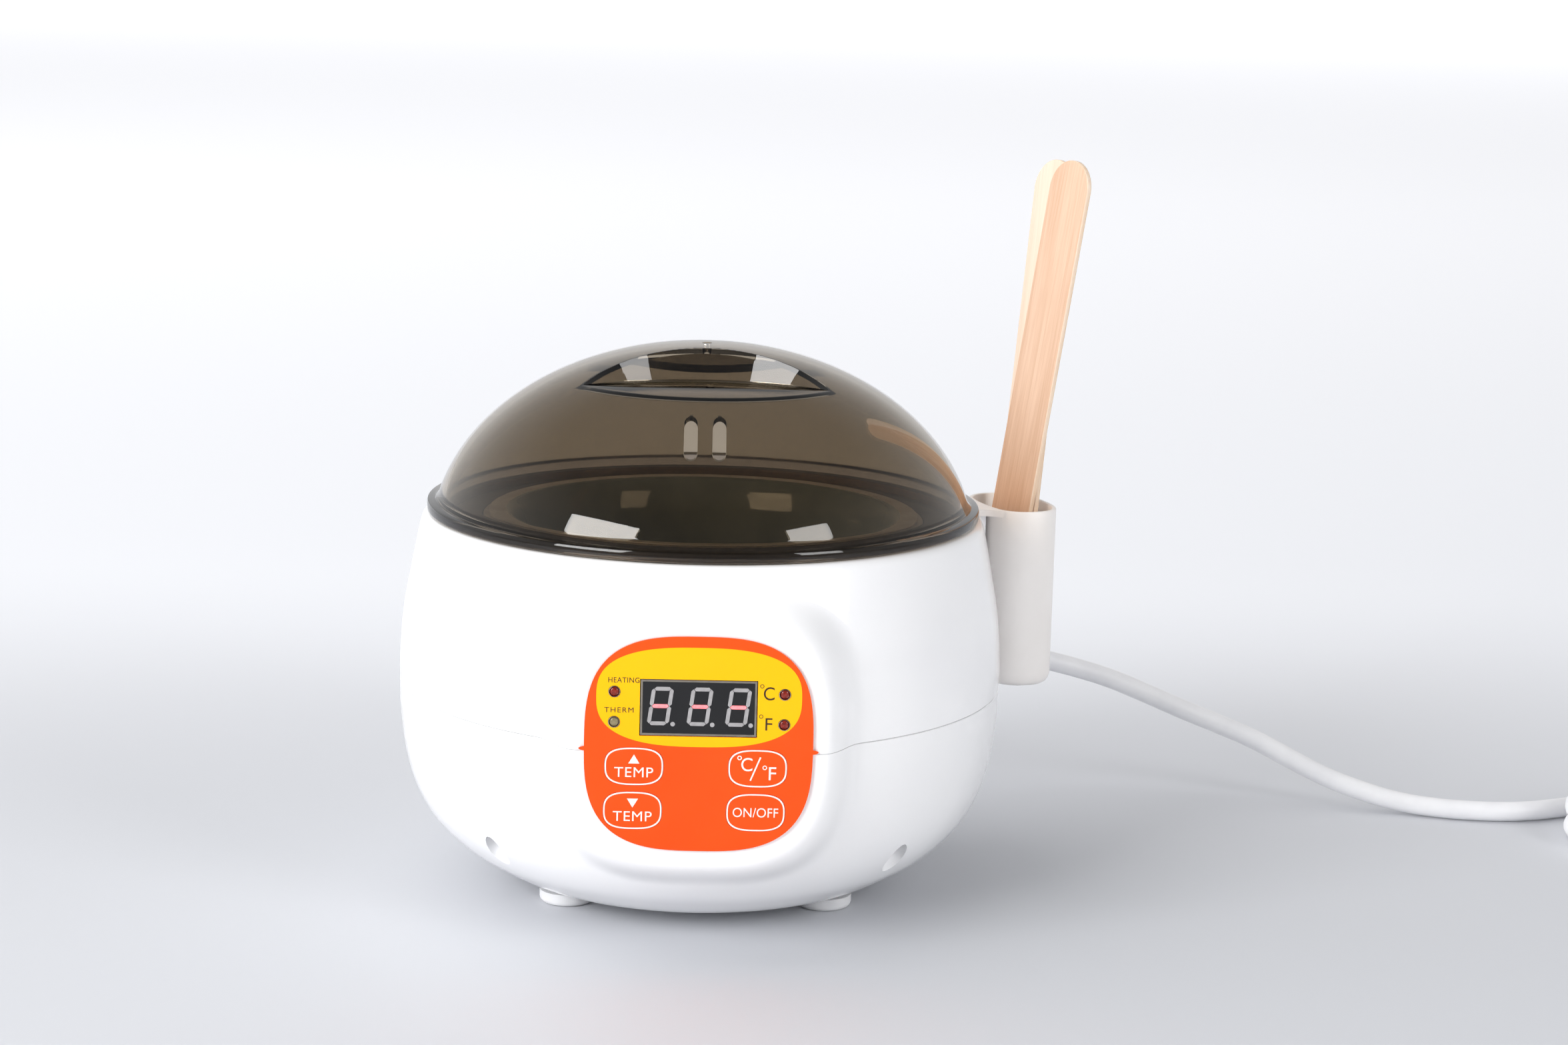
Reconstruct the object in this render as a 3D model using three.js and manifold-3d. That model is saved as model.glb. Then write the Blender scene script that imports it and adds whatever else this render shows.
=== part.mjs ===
// Wax warmer pot with a domed lid, a front control panel, a hanging spatula cup and a mains cord.
// Millimetres, +Z up. The panel faces -Y. The origin is on the floor under the middle of the warmer
// and its spatula cup, so the housing's own axis stands a little to the left of it.

import * as THREE from 'three';
import { mergeVertices } from 'three/addons/utils/BufferGeometryUtils.js';
import Module from 'manifold-3d';

const wasm = await Module();
wasm.setup();

// ---------------------------------------------------------------- driving dimensions

const AXIS = new THREE.Vector2(-12.4, 0.8); // the housing's axis in the part's frame
const TURNED_SEGMENTS = 44;
const GAP = 0.3; // between touching pieces

const HOUSING = {
  wall: 2.3, seamZ: 60.5, underZ: 4, topZ: 109.7, ledgeZ: 101, ledgeThick: 2.3, ledgeInner: 69,
};
const SCREWS = { circle: 78.5, wellRadius: 2.6, wellTopZ: 44, postRadius: 4, splitZ: 50, screwRadius: 1.4 };
const FEET = { x: 37, y: 30, radius: 8, height: 3.6, pegRadius: 2.4 };

const WELL = { rimRadius: 56.6, baseRadius: 53.4, wall: 1.3, floorZ: 43.2, rimZ: 108.4, flangeRadius: 64 };
const POT = { rimRadius: 53, baseRadius: 50.4, wall: 1.2, floorZ: 45, rimZ: 110, flangeRadius: 62.5 };

const LID = {
  radius: 79.1, height: 58, centreZ: 101, wall: 2, baseZ: 110, flangeThick: 3, flangeRadius: 80.3,
  skirtOuter: 77, skirtInner: 75.2, skirtZ: 106.6, crownZ: 147,
};
const GRIP = { floorZ: 149.6, radius: 45.4, centreY: -54.9 }; // two scoops leave a rib between them
const VENT = { holeRadius: 1.4, slotWidth: 3.8, slotLowZ: 135.1, slotHighZ: 144.3, slotX: 3.9 };

const BOSS = { faceY: -88.6, z: 62.8, halfWidth: 34, halfHeight: 34, edge: 6.5, depth: 22, power: 3 };
const OVERLAY = { halfWidth: 30.6, halfHeight: 29.5, thick: 0.5, standOff: 0.4, power: 3 };
const DISPLAY = { x: -0.2, z: 72.8, width: 31.4, height: 15.6 };
const LEDS = { radius: 1.55, x: 22.7, highZ: 77, lowZ: 68.7 };
const KEYS = {
  halfWidth: 8, halfHeight: 5.5, stemRadius: 2.6, leftX: -17.2, rightX: 16.3, highZ: 56.5, lowZ: 44.1,
};
const BOARD = { frontY: -80.3, thick: 1.6 };

const CUP = {
  azimuth: 20, reach: 99.6, halfDeep: 11, halfWide: 17, wall: 1.3, topZ: 107.8, baseZ: 54, power: 2.6,
  round: 2,
};
const STICK = { length: 155, width: 18, thick: 1.7 };
const SPATULAS = {
  foot: new THREE.Vector3(86.9, 33.3, 57.8), // where the front spatula stands in the cup
  lean: new THREE.Vector3(0.143, 0.03, 1),
  widthAlong: new THREE.Vector3(0.533, -0.846, 0),
  spread: 5.8, // degrees between the two spatulas
  crossing: 49, // height above their feet at which they cross
};

const CORD = { radius: 3.1, exitAzimuth: 40, exitZ: 52, reliefLength: 24 };
const CORD_ROUTE = [ // from the strain relief down to the coil, from the housing's axis
  [85.8, 72, 52], [98, 81.5, 50.4], [112, 88, 46.1], [133, 91, 39.8], [157, 90, 30.2], [181, 88, 20.9],
  [204, 82, 10.4], [227, 76, 4.2], [249, 70, 3.3], [268, 70.8, 3.3], [284.3, 77.2, 3.3],
];
const CORD_TAIL = [[346.2, 25.3, 7.8], [346.2, 12.3, 6.9]];
const COIL = { x: 312, y: 47.3, inner: 24.8, outer: 37.4, height: 12.9 }; // two turns wide, two high
const PLUG = { y: 12, length: 38, width: 27, height: 13.4, pinRadius: 2, pinLength: 19, pinPitch: 18.6 };

// ---------------------------------------------------------------- materials

function finish(color, roughness, metalness = 0, extra = {}) {
  return new THREE.MeshStandardMaterial({ color, roughness, metalness, ...extra });
}

const MATERIALS = {
  whiteShell: finish(0xf4f4f4, 0.22),
  smoked: finish(0x4a4038, 0.08, 0, { transparent: true, opacity: 0.6 }),
  nonStick: finish(0x2c2b28, 0.35),
  aluminium: finish(0xb9b9b6, 0.35, 1),
  darkRing: finish(0x2a241f, 0.4),
  orangeFilm: finish(0xff5e1d, 0.35),
  darkGlass: finish(0x1b1a1c, 0.12),
  led: finish(0x8c1712, 0.2),
  board: finish(0x1f5a35, 0.5),
  blackPart: finish(0x1c1c1e, 0.5),
  cupWhite: finish(0xe9e4e0, 0.4),
  wood: finish(0xe6c6a8, 0.7),
  steel: finish(0xc9cacb, 0.3, 1),
  glassFibre: finish(0xd8cfb4, 0.9),
  cordWhite: finish(0xf2f2f3, 0.45),
};

// ---------------------------------------------------------------- solids

// A closed manifold-3d solid from a three.js geometry.
function solidOf(geometry) {
  const bare = geometry.index ? geometry.toNonIndexed() : geometry.clone();
  for (const name of Object.keys(bare.attributes)) if (name !== 'position') bare.deleteAttribute(name);
  const merged = mergeVertices(bare, 1e-4);
  const corners = merged.index.array;
  const triangles = [];
  for (let i = 0; i < corners.length; i += 3) {
    const [a, b, c] = corners.slice(i, i + 3);
    if (a !== b && b !== c && c !== a) triangles.push(a, b, c);
  }
  return new wasm.Manifold(new wasm.Mesh({
    numProp: 3,
    vertProperties: merged.attributes.position.array,
    triVerts: Uint32Array.from(triangles),
  }));
}

function geometryOf(solid) {
  const { vertProperties, triVerts } = solid.getMesh();
  const geometry = new THREE.BufferGeometry();
  geometry.setAttribute('position', new THREE.BufferAttribute(vertProperties, 3));
  geometry.setIndex(new THREE.BufferAttribute(triVerts, 1));
  geometry.computeVertexNormals();
  return geometry;
}

// A profile of [radius, z] points, anticlockwise with radius to the right, turned about Z.
function turned(profile, segments = TURNED_SEGMENTS) {
  const points = profile.map(([radius, z]) => new THREE.Vector2(radius, z));
  return new THREE.LatheGeometry(points, segments).rotateX(Math.PI / 2);
}

// The same for a ring, whose profile closes on itself.
function turnedRing(profile, segments = TURNED_SEGMENTS) {
  return turned([...profile, profile[0]], segments);
}

function box(width, depth, height, x = 0, y = 0, z = 0) {
  return new THREE.BoxGeometry(width, depth, height).translate(x, y, z);
}

function rodZ(radius, lowZ, highZ, sides = 16) {
  return new THREE.CylinderGeometry(radius, radius, highZ - lowZ, sides)
    .rotateX(Math.PI / 2).translate(0, 0, (lowZ + highZ) / 2);
}

function rodY(radius, frontY, backY, sides = 16) {
  return new THREE.CylinderGeometry(radius, radius, backY - frontY, sides)
    .translate(0, (frontY + backY) / 2, 0);
}

function superellipse(halfWidth, halfHeight, power, count = 36) {
  const shape = new THREE.Shape();
  for (let i = 0; i < count; i++) {
    const angle = (2 * Math.PI * i) / count;
    const [c, s] = [Math.cos(angle), Math.sin(angle)];
    const x = halfWidth * Math.sign(c) * Math.abs(c) ** (2 / power);
    const y = halfHeight * Math.sign(s) * Math.abs(s) ** (2 / power);
    if (i === 0) shape.moveTo(x, y);
    else shape.lineTo(x, y);
  }
  return shape;
}

function ellipse(halfWidth, halfHeight, count = 20) {
  return superellipse(halfWidth, halfHeight, 2, count);
}

// A plate cut from a shape that is drawn as seen from the front, standing upright.
// frontY is its face towards -Y.
function panelPlate(shape, thick, frontY, x = 0, z = 0, bevel = {}) {
  return new THREE.ExtrudeGeometry(shape, { depth: thick, bevelEnabled: false, ...bevel })
    .rotateX(Math.PI / 2).translate(x, frontY + thick, z);
}

// A pill-shaped bar along Z, pointing along Y.
function slot(width, lowZ, highZ, x, frontY, backY) {
  const shape = new THREE.Shape();
  const r = width / 2;
  shape.absarc(0, highZ - r, r, 0, Math.PI, false);
  shape.absarc(0, lowZ + r, r, Math.PI, 2 * Math.PI, false);
  return new THREE.ExtrudeGeometry(shape, { depth: backY - frontY, bevelEnabled: false, curveSegments: 3 })
    .rotateX(Math.PI / 2).translate(x, backY, 0);
}

function add(parent, name, geometry, material) {
  const shape = geometry instanceof wasm.Manifold ? geometryOf(geometry) : geometry;
  const mesh = new THREE.Mesh(shape, material.clone());
  mesh.name = name;
  parent.add(mesh);
  return mesh;
}

const radians = THREE.MathUtils.degToRad;
const SIDES = [-1, 1];
const SCREW_PLACES = [45, 135, 225, 315].map((angle) => [
  SCREWS.circle * Math.cos(radians(angle)), SCREWS.circle * Math.sin(radians(angle)),
]);
const FOOT_PLACES = [
  ['front_left', -FEET.x, -FEET.y], ['front_right', FEET.x, -FEET.y],
  ['rear_left', -FEET.x, FEET.y], ['rear_right', FEET.x, FEET.y],
];

// ---------------------------------------------------------------- housing

// The outer side from the underside to the shoulder that the lid sits on.
const OUTER_SIDE = [
  [51, HOUSING.underZ], [57.5, 5.6], [65.4, 10], [72.5, 15], [79, 22], [83.4, 30], [86.2, 40], [87.7, 52],
  [87.9, HOUSING.seamZ], [87.9, 68], [86.9, 81], [84.6, 94], [82.4, 105], [81.6, 107.8], [80.4, 109.3],
  [79.2, HOUSING.topZ],
];
const INNER_SIDE = [
  [50.4, 6.3], [57, 7.9], [64, 12], [70.8, 16.9], [76.8, 23.2], [81.2, 31.2], [83.9, 41], [85.4, 52.2],
  [85.6, HOUSING.seamZ], [85.6, 68], [84.6, 80.8], [82.4, 93.2], [81, 100],
];

function bossBlock(inset) {
  const face = superellipse(BOSS.halfWidth - inset, BOSS.halfHeight - inset, BOSS.power);
  const edge = { bevelEnabled: true, bevelThickness: BOSS.edge, bevelSize: BOSS.edge, bevelSegments: 3 };
  return solidOf(panelPlate(face, BOSS.depth, BOSS.faceY + inset + BOSS.edge, 0, BOSS.z, edge));
}

function housingSkin() {
  const outer = solidOf(turned([[0, HOUSING.underZ], ...OUTER_SIDE, [0, HOUSING.topZ]])).add(bossBlock(0));
  const cavity = solidOf(turned([
    [0, INNER_SIDE[0][1]], ...INNER_SIDE, [80.8, HOUSING.ledgeZ], [77.6, HOUSING.ledgeZ],
    [77.6, HOUSING.topZ + 1], [0, HOUSING.topZ + 1],
  ])).add(bossBlock(HOUSING.wall));
  // the boss stays clear of the well
  const heart = solidOf(rodZ(WELL.flangeRadius, 30, 120, TURNED_SEGMENTS));
  return outer.subtract(cavity).subtract(heart);
}

function faceOpenings() {
  const through = [BOSS.faceY - 5, BOSS.faceY + 5];
  let cut = solidOf(box(DISPLAY.width, 10, DISPLAY.height, DISPLAY.x, BOSS.faceY, DISPLAY.z));
  for (const side of SIDES) {
    for (const z of [LEDS.highZ, LEDS.lowZ]) {
      cut = cut.add(solidOf(rodY(LEDS.radius + GAP, ...through).translate(side * LEDS.x, 0, z)));
    }
  }
  for (const x of [KEYS.leftX, KEYS.rightX]) {
    for (const z of [KEYS.highZ, KEYS.lowZ]) {
      cut = cut.add(solidOf(rodY(KEYS.stemRadius + 2 * GAP, ...through).translate(x, 0, z)));
    }
  }
  return cut;
}

function upperHousing(skin) {
  let shell = skin.intersect(solidOf(box(240, 240, 60, 0, 0, HOUSING.seamZ + GAP / 2 + 30)));
  const ledge = [
    [HOUSING.ledgeInner, HOUSING.ledgeZ], [82, HOUSING.ledgeZ], [82, HOUSING.ledgeZ + HOUSING.ledgeThick],
    [HOUSING.ledgeInner, HOUSING.ledgeZ + HOUSING.ledgeThick],
  ];
  shell = shell.add(solidOf(turnedRing(ledge)));
  for (const [x, y] of SCREW_PLACES) {
    const post = rodZ(SCREWS.postRadius, SCREWS.splitZ + GAP, HOUSING.ledgeZ + 1).translate(x, y, 0);
    const pilot = rodZ(SCREWS.screwRadius + GAP, SCREWS.splitZ - 1, SCREWS.splitZ + 12, 12)
      .translate(x, y, 0);
    shell = shell.add(solidOf(post)).subtract(solidOf(pilot));
  }
  return shell;
}

function lowerHousing(skin) {
  const below = HOUSING.seamZ - GAP / 2;
  const envelope = solidOf(turned([[0, HOUSING.underZ], ...OUTER_SIDE.slice(0, 9), [0, HOUSING.seamZ]]));
  let shell = skin.intersect(solidOf(box(240, 240, below, 0, 0, below / 2)));
  for (const [x, y] of SCREW_PLACES) {
    const post = rodZ(SCREWS.postRadius, 10, SCREWS.splitZ).translate(x, y, 0);
    const well = rodZ(SCREWS.wellRadius, 0, SCREWS.wellTopZ).translate(x, y, 0);
    const shank = rodZ(SCREWS.screwRadius + GAP, 40, SCREWS.splitZ + 1, 12).translate(x, y, 0);
    shell = shell.add(solidOf(post).intersect(envelope)).subtract(solidOf(well)).subtract(solidOf(shank));
  }
  for (const [, x, y] of FOOT_PLACES) {
    shell = shell.subtract(solidOf(rodZ(FEET.pegRadius + GAP, 0, 12, 16).translate(x, y, 0)));
  }
  const exit = rodZ(5.3, 80, 95).rotateY(Math.PI / 2).rotateZ(radians(CORD.exitAzimuth));
  return shell.subtract(solidOf(exit.translate(0, 0, CORD.exitZ)));
}

function addHousing(parent) {
  const skin = housingSkin().subtract(faceOpenings());
  add(parent, 'upper_housing', upperHousing(skin), MATERIALS.whiteShell);
  add(parent, 'lower_housing', lowerHousing(skin), MATERIALS.whiteShell);
  for (const [place, x, y] of FOOT_PLACES) {
    const foot = turned([
      [0, 0], [FEET.radius - 0.8, 0], [FEET.radius, 0.8], [FEET.radius, FEET.height],
      [FEET.pegRadius, FEET.height], [FEET.pegRadius, FEET.height + 5], [0, FEET.height + 5],
    ], 24).translate(x, y, 0);
    add(parent, `foot_${place}`, foot, MATERIALS.whiteShell);
  }
  SCREW_PLACES.forEach(([x, y], i) => {
    const headZ = SCREWS.wellTopZ - GAP;
    const screw = turned([
      [0, headZ - 1.8], [1.6, headZ - 1.8], [2.2, headZ - 1], [2.2, headZ], [SCREWS.screwRadius, headZ],
      [SCREWS.screwRadius, SCREWS.splitZ + 10], [0, SCREWS.splitZ + 11],
    ], 12).translate(x, y, 0);
    add(parent, `housing_screw_${i + 1}`, screw, MATERIALS.steel);
  });
}

// ---------------------------------------------------------------- heating parts

function addHeating(parent) {
  const collarZ = HOUSING.ledgeZ + HOUSING.ledgeThick + GAP;
  const collarInner = WELL.flangeRadius + GAP;
  add(parent, 'heat_collar', turnedRing([
    [collarInner + 1, collarZ], [74.6, collarZ], [74.6, WELL.rimZ - 1.2], [73.8, WELL.rimZ - 0.4],
    [collarInner, WELL.rimZ], [collarInner, WELL.rimZ - 2.2], [collarInner + 1, WELL.rimZ - 2.6],
  ]), MATERIALS.darkRing);

  const w = WELL;
  add(parent, 'heating_well', turned([
    [0, w.floorZ - w.wall], [w.baseRadius - 2, w.floorZ - w.wall], [w.baseRadius + w.wall, w.floorZ + 2],
    [w.rimRadius + w.wall, w.rimZ - 2.4], [w.rimRadius + w.wall + 1, w.rimZ - w.wall],
    [w.flangeRadius, w.rimZ - w.wall], [w.flangeRadius, w.rimZ], [w.rimRadius + 0.6, w.rimZ],
    [w.rimRadius, w.rimZ - 1.6], [w.baseRadius, w.floorZ + 3], [w.baseRadius - 2.4, w.floorZ],
    [0, w.floorZ],
  ], 40), MATERIALS.aluminium);

  const band = [[58.4, 56], [60, 56], [60, 84], [58.4, 84]];
  const sleeve = [[60.4, 50], [63.6, 50], [63.6, 98], [60.4, 98]];
  add(parent, 'heater_band', turnedRing(band, 40), MATERIALS.steel);
  add(parent, 'insulation_sleeve', turnedRing(sleeve, 40), MATERIALS.glassFibre);
  const sensorTopZ = w.floorZ - w.wall - GAP;
  add(parent, 'thermistor', rodZ(3, sensorTopZ - 7, sensorTopZ, 16), MATERIALS.steel);
  add(parent, 'thermal_fuse', box(12, 5, 4.4, 26, 0, sensorTopZ - 2.2), MATERIALS.blackPart);

  const p = POT;
  add(parent, 'inner_pot', turned([
    [0, p.floorZ], [p.baseRadius - 3, p.floorZ], [p.baseRadius + p.wall, p.floorZ + 4],
    [p.rimRadius + p.wall, p.rimZ - 2.6], [p.rimRadius + p.wall + 0.9, p.rimZ - p.wall],
    [p.flangeRadius, p.rimZ - p.wall], [p.flangeRadius, p.rimZ], [p.rimRadius + 0.6, p.rimZ],
    [p.rimRadius, p.rimZ - 1.4], [p.baseRadius, p.floorZ + 5], [p.baseRadius - 3.6, p.floorZ + p.wall],
    [0, p.floorZ + p.wall],
  ], 40), MATERIALS.nonStick);
}

// ---------------------------------------------------------------- lid

// Dome points from low on the side to the crown.
function domeSide(radius, height, lowZ, count = 9) {
  const lowAngle = Math.asin((lowZ - LID.centreZ) / height);
  return Array.from({ length: count }, (_, i) => {
    const angle = lowAngle + ((Math.PI / 2 - lowAngle) * i) / count;
    return [radius * Math.cos(angle), LID.centreZ + height * Math.sin(angle)];
  });
}

function gripScoops(grow) {
  let scoops = null;
  for (const side of SIDES) {
    const scoop = solidOf(rodZ(GRIP.radius + grow, GRIP.floorZ - grow, 175, 60)
      .translate(0, side * GRIP.centreY, 0));
    scoops = scoops ? scoops.add(scoop) : scoop;
  }
  return scoops;
}

function addLid(parent) {
  const flangeTop = LID.baseZ + LID.flangeThick;
  const outer = solidOf(turned([
    [0, LID.skirtZ], [LID.skirtOuter, LID.skirtZ], [LID.skirtOuter, LID.baseZ],
    [LID.flangeRadius - 0.4, LID.baseZ], [LID.flangeRadius, LID.baseZ + 0.5],
    [LID.flangeRadius, flangeTop - 0.6], [LID.flangeRadius - 0.6, flangeTop],
    ...domeSide(LID.radius, LID.height, flangeTop + 0.4), [0, LID.centreZ + LID.height],
  ])).subtract(gripScoops(0));
  const innerHeight = LID.height - LID.wall;
  const hollow = solidOf(turned([
    [0, LID.skirtZ - 1], [LID.skirtInner, LID.skirtZ - 1],
    ...domeSide(LID.radius - LID.wall, innerHeight, flangeTop), [0, LID.centreZ + innerHeight],
  ])).subtract(gripScoops(LID.wall));
  let lid = outer.subtract(hollow).subtract(solidOf(rodZ(VENT.holeRadius, 150, 165, 12)));
  for (const side of SIDES) {
    const vent = slot(VENT.slotWidth, VENT.slotLowZ, VENT.slotHighZ, side * VENT.slotX, -75, -40);
    lid = lid.subtract(solidOf(vent));
  }
  // The dome and its crown are one moulding, in two solids so that the scoops stay open to collision.
  const under = LID.crownZ - GAP / 2;
  const dome = lid.intersect(solidOf(box(200, 200, under, 0, 0, under / 2)));
  const crown = lid.intersect(solidOf(box(200, 200, 60, 0, 0, LID.crownZ + GAP / 2 + 30)));
  add(parent, 'lid', dome, MATERIALS.smoked);
  add(parent, 'lid_crown', crown, MATERIALS.smoked);
}

// ---------------------------------------------------------------- control panel

function addPanel(parent) {
  const filmY = BOSS.faceY - OVERLAY.standOff - OVERLAY.thick;
  const keyPlaces = [
    ['key_up', KEYS.leftX, KEYS.highZ], ['key_down', KEYS.leftX, KEYS.lowZ],
    ['key_unit', KEYS.rightX, KEYS.highZ], ['key_power', KEYS.rightX, KEYS.lowZ],
  ];
  const ledPlaces = [
    ['led_heating', -LEDS.x, LEDS.highZ], ['led_warm', -LEDS.x, LEDS.lowZ],
    ['led_celsius', LEDS.x, LEDS.highZ], ['led_fahrenheit', LEDS.x, LEDS.lowZ],
  ];
  const filmCutY = filmY - 1;
  const filmCut = OVERLAY.thick + 2;
  const outline = superellipse(OVERLAY.halfWidth, OVERLAY.halfHeight, OVERLAY.power);
  let film = solidOf(panelPlate(outline, OVERLAY.thick, filmY, 0, BOSS.z));
  film = film.subtract(solidOf(box(DISPLAY.width, 4, DISPLAY.height, DISPLAY.x, filmY, DISPLAY.z)));

  for (const [name, x, z] of keyPlaces) {
    const opening = ellipse(KEYS.halfWidth + GAP, KEYS.halfHeight + GAP);
    film = film.subtract(solidOf(panelPlate(opening, filmCut, filmCutY, x, z)));
    const pad = solidOf(panelPlate(ellipse(KEYS.halfWidth, KEYS.halfHeight), OVERLAY.thick, filmY, x, z));
    const stem = solidOf(rodY(KEYS.stemRadius, filmY + 0.2, BOSS.faceY + 2.4, 16).translate(x, 0, z));
    add(parent, name, pad.add(stem), MATERIALS.orangeFilm);

    const switchFrontY = BOARD.frontY - GAP - 4;
    const body = solidOf(box(6, 4, 6, x, BOARD.frontY - GAP - 2, z));
    const plunger = solidOf(rodY(1.7, switchFrontY - 0.7, switchFrontY + 0.5, 12).translate(x, 0, z));
    add(parent, `tact_switch_${name.slice(4)}`, body.add(plunger), MATERIALS.blackPart);
  }
  for (const [name, x, z] of ledPlaces) {
    const hole = rodY(LEDS.radius + GAP, filmCutY, filmCutY + filmCut, 16).translate(x, 0, z);
    film = film.subtract(solidOf(hole));
    const length = BOARD.frontY - GAP - filmY;
    const led = turned([
      [0, 0], [LEDS.radius, 0], [LEDS.radius, length - 0.7], [LEDS.radius * 0.7, length - 0.15],
      [0, length],
    ], 16).rotateX(Math.PI / 2).translate(x, BOARD.frontY - GAP, z);
    add(parent, name, led, MATERIALS.led);
  }
  add(parent, 'panel_overlay', film, MATERIALS.orangeFilm);

  const inset = 2 * GAP;
  add(parent, 'display_window', box(DISPLAY.width - inset, OVERLAY.thick, DISPLAY.height - inset, DISPLAY.x,
    filmY + OVERLAY.thick / 2, DISPLAY.z), MATERIALS.darkGlass);
  const moduleFrontY = BOSS.faceY + 0.2;
  const moduleDeep = BOARD.frontY - GAP - moduleFrontY;
  const module = box(DISPLAY.width - 2 * inset, moduleDeep, DISPLAY.height - 2 * inset, DISPLAY.x,
    moduleFrontY + moduleDeep / 2, DISPLAY.z);
  add(parent, 'display_module', module, MATERIALS.blackPart);
  const board = box(52, BOARD.thick, 50, 0, BOARD.frontY + BOARD.thick / 2, 61.5);
  add(parent, 'control_board', board, MATERIALS.board);
}

// ---------------------------------------------------------------- power board

function addPowerBoard(parent) {
  const topZ = 18.6;
  add(parent, 'power_board', box(70, 56, BOARD.thick, 0, 6, topZ - BOARD.thick / 2), MATERIALS.board);
  const onBoard = (width, depth, height, x, y) => box(width, depth, height, x, y, topZ + GAP + height / 2);
  add(parent, 'relay', onBoard(19, 15, 15, -20, 18), MATERIALS.blackPart);
  add(parent, 'suppression_capacitor', onBoard(18, 8, 14, 16, 24), MATERIALS.orangeFilm);
  add(parent, 'power_transformer', onBoard(22, 20, 17, -16, -7), MATERIALS.blackPart);
  add(parent, 'terminal_block', onBoard(16, 9, 10, 20, 4), MATERIALS.board);
}

// ---------------------------------------------------------------- spatula cup

// Built with its reach along +X and its width along Y, then turned to its place on the housing.
function cupForm(inset, lowZ, highZ) {
  const shrink = inset + CUP.round;
  const outline = superellipse(CUP.halfDeep - shrink, CUP.halfWide - shrink, CUP.power, 32);
  const rounding = {
    bevelEnabled: true, bevelThickness: CUP.round, bevelSize: CUP.round, bevelSegments: 3,
  };
  return solidOf(new THREE.ExtrudeGeometry(outline, { depth: highZ - lowZ, ...rounding })
    .translate(CUP.reach, 0, lowZ + CUP.round));
}

function cupTongue() {
  const [root, tip] = [CUP.reach - CUP.halfDeep + 0.8, 82.9];
  const shape = new THREE.Shape();
  shape.moveTo(root, -13);
  shape.quadraticCurveTo(root - 1.6, -9.4, tip, -9);
  shape.lineTo(tip, 9);
  shape.quadraticCurveTo(root - 1.6, 9.4, root, 13);
  shape.closePath();
  const bridge = new THREE.ExtrudeGeometry(shape, { depth: 2, bevelEnabled: false, curveSegments: 6 })
    .translate(0, 0, CUP.topZ - 2);
  const lip = box(1.2, 16, 9, 85.2, 0, CUP.topZ - 6);
  return solidOf(bridge).add(solidOf(lip));
}

function addSpatulaCup(parent) {
  const side = new THREE.Group();
  side.rotation.z = radians(CUP.azimuth);
  parent.add(side);

  const trim = solidOf(box(60, 60, 40, CUP.reach, 0, CUP.topZ + 20));
  let cup = cupForm(0, CUP.baseZ, CUP.topZ).subtract(trim);
  cup = cup.add(cupTongue()).subtract(cupForm(CUP.wall, CUP.baseZ + CUP.wall, CUP.topZ + 10));
  add(side, 'spatula_cup', cup, MATERIALS.cupWhite);

  const hookTopZ = CUP.topZ - 2 - GAP;
  const hook = new THREE.Shape([
    [84.9, 96], [84.9, 94.6], [85.9, 89], [87.7, 89], [87.7, hookTopZ], [86.1, hookTopZ], [86.1, 96],
  ].map(([reach, z]) => new THREE.Vector2(reach, z)));
  add(side, 'cup_hook', new THREE.ExtrudeGeometry(hook, { depth: 14, bevelEnabled: false })
    .rotateX(Math.PI / 2).translate(0, 7, 0), MATERIALS.whiteShell);
}

// ---------------------------------------------------------------- spatulas

function spatulaBlade() {
  const { length, width, thick } = STICK;
  const r = width / 2;
  const shape = new THREE.Shape();
  shape.absarc(0, r, r, Math.PI, 2 * Math.PI, false);
  shape.absarc(0, length - r, r, 0, Math.PI, false);
  return new THREE.ExtrudeGeometry(shape, { depth: thick, bevelEnabled: false, curveSegments: 5 })
    .translate(0, 0, -thick / 2);
}

function addSpatulas(parent) {
  const along = SPATULAS.lean.clone().normalize();
  const face = new THREE.Vector3().crossVectors(SPATULAS.widthAlong, along).normalize();
  const across = new THREE.Vector3().crossVectors(along, face);
  const blade = (name, foot, turn) => {
    const up = along.clone().applyAxisAngle(face, turn);
    const side = across.clone().applyAxisAngle(face, turn);
    const frame = new THREE.Matrix4().makeBasis(side, up, face).setPosition(foot);
    const mesh = add(parent, name, spatulaBlade(), MATERIALS.wood);
    mesh.applyMatrix4(frame);
  };
  blade('spatula_front', SPATULAS.foot, 0);
  const turn = radians(SPATULAS.spread);
  const backFoot = SPATULAS.foot.clone()
    .addScaledVector(face, -(STICK.thick + GAP))
    .addScaledVector(across, SPATULAS.crossing * Math.tan(turn));
  blade('spatula_back', backFoot, turn);
}

// ---------------------------------------------------------------- mains cord

function cordTube(points, steps) {
  const knots = points.map((point) => new THREE.Vector3(...point));
  const path = new THREE.CatmullRomCurve3(knots, false, 'centripetal');
  const section = new THREE.Shape();
  section.absarc(0, 0, CORD.radius, 0, 2 * Math.PI, false);
  return new THREE.ExtrudeGeometry(section, {
    steps, extrudePath: path, bevelEnabled: false, curveSegments: 5,
  });
}

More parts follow.
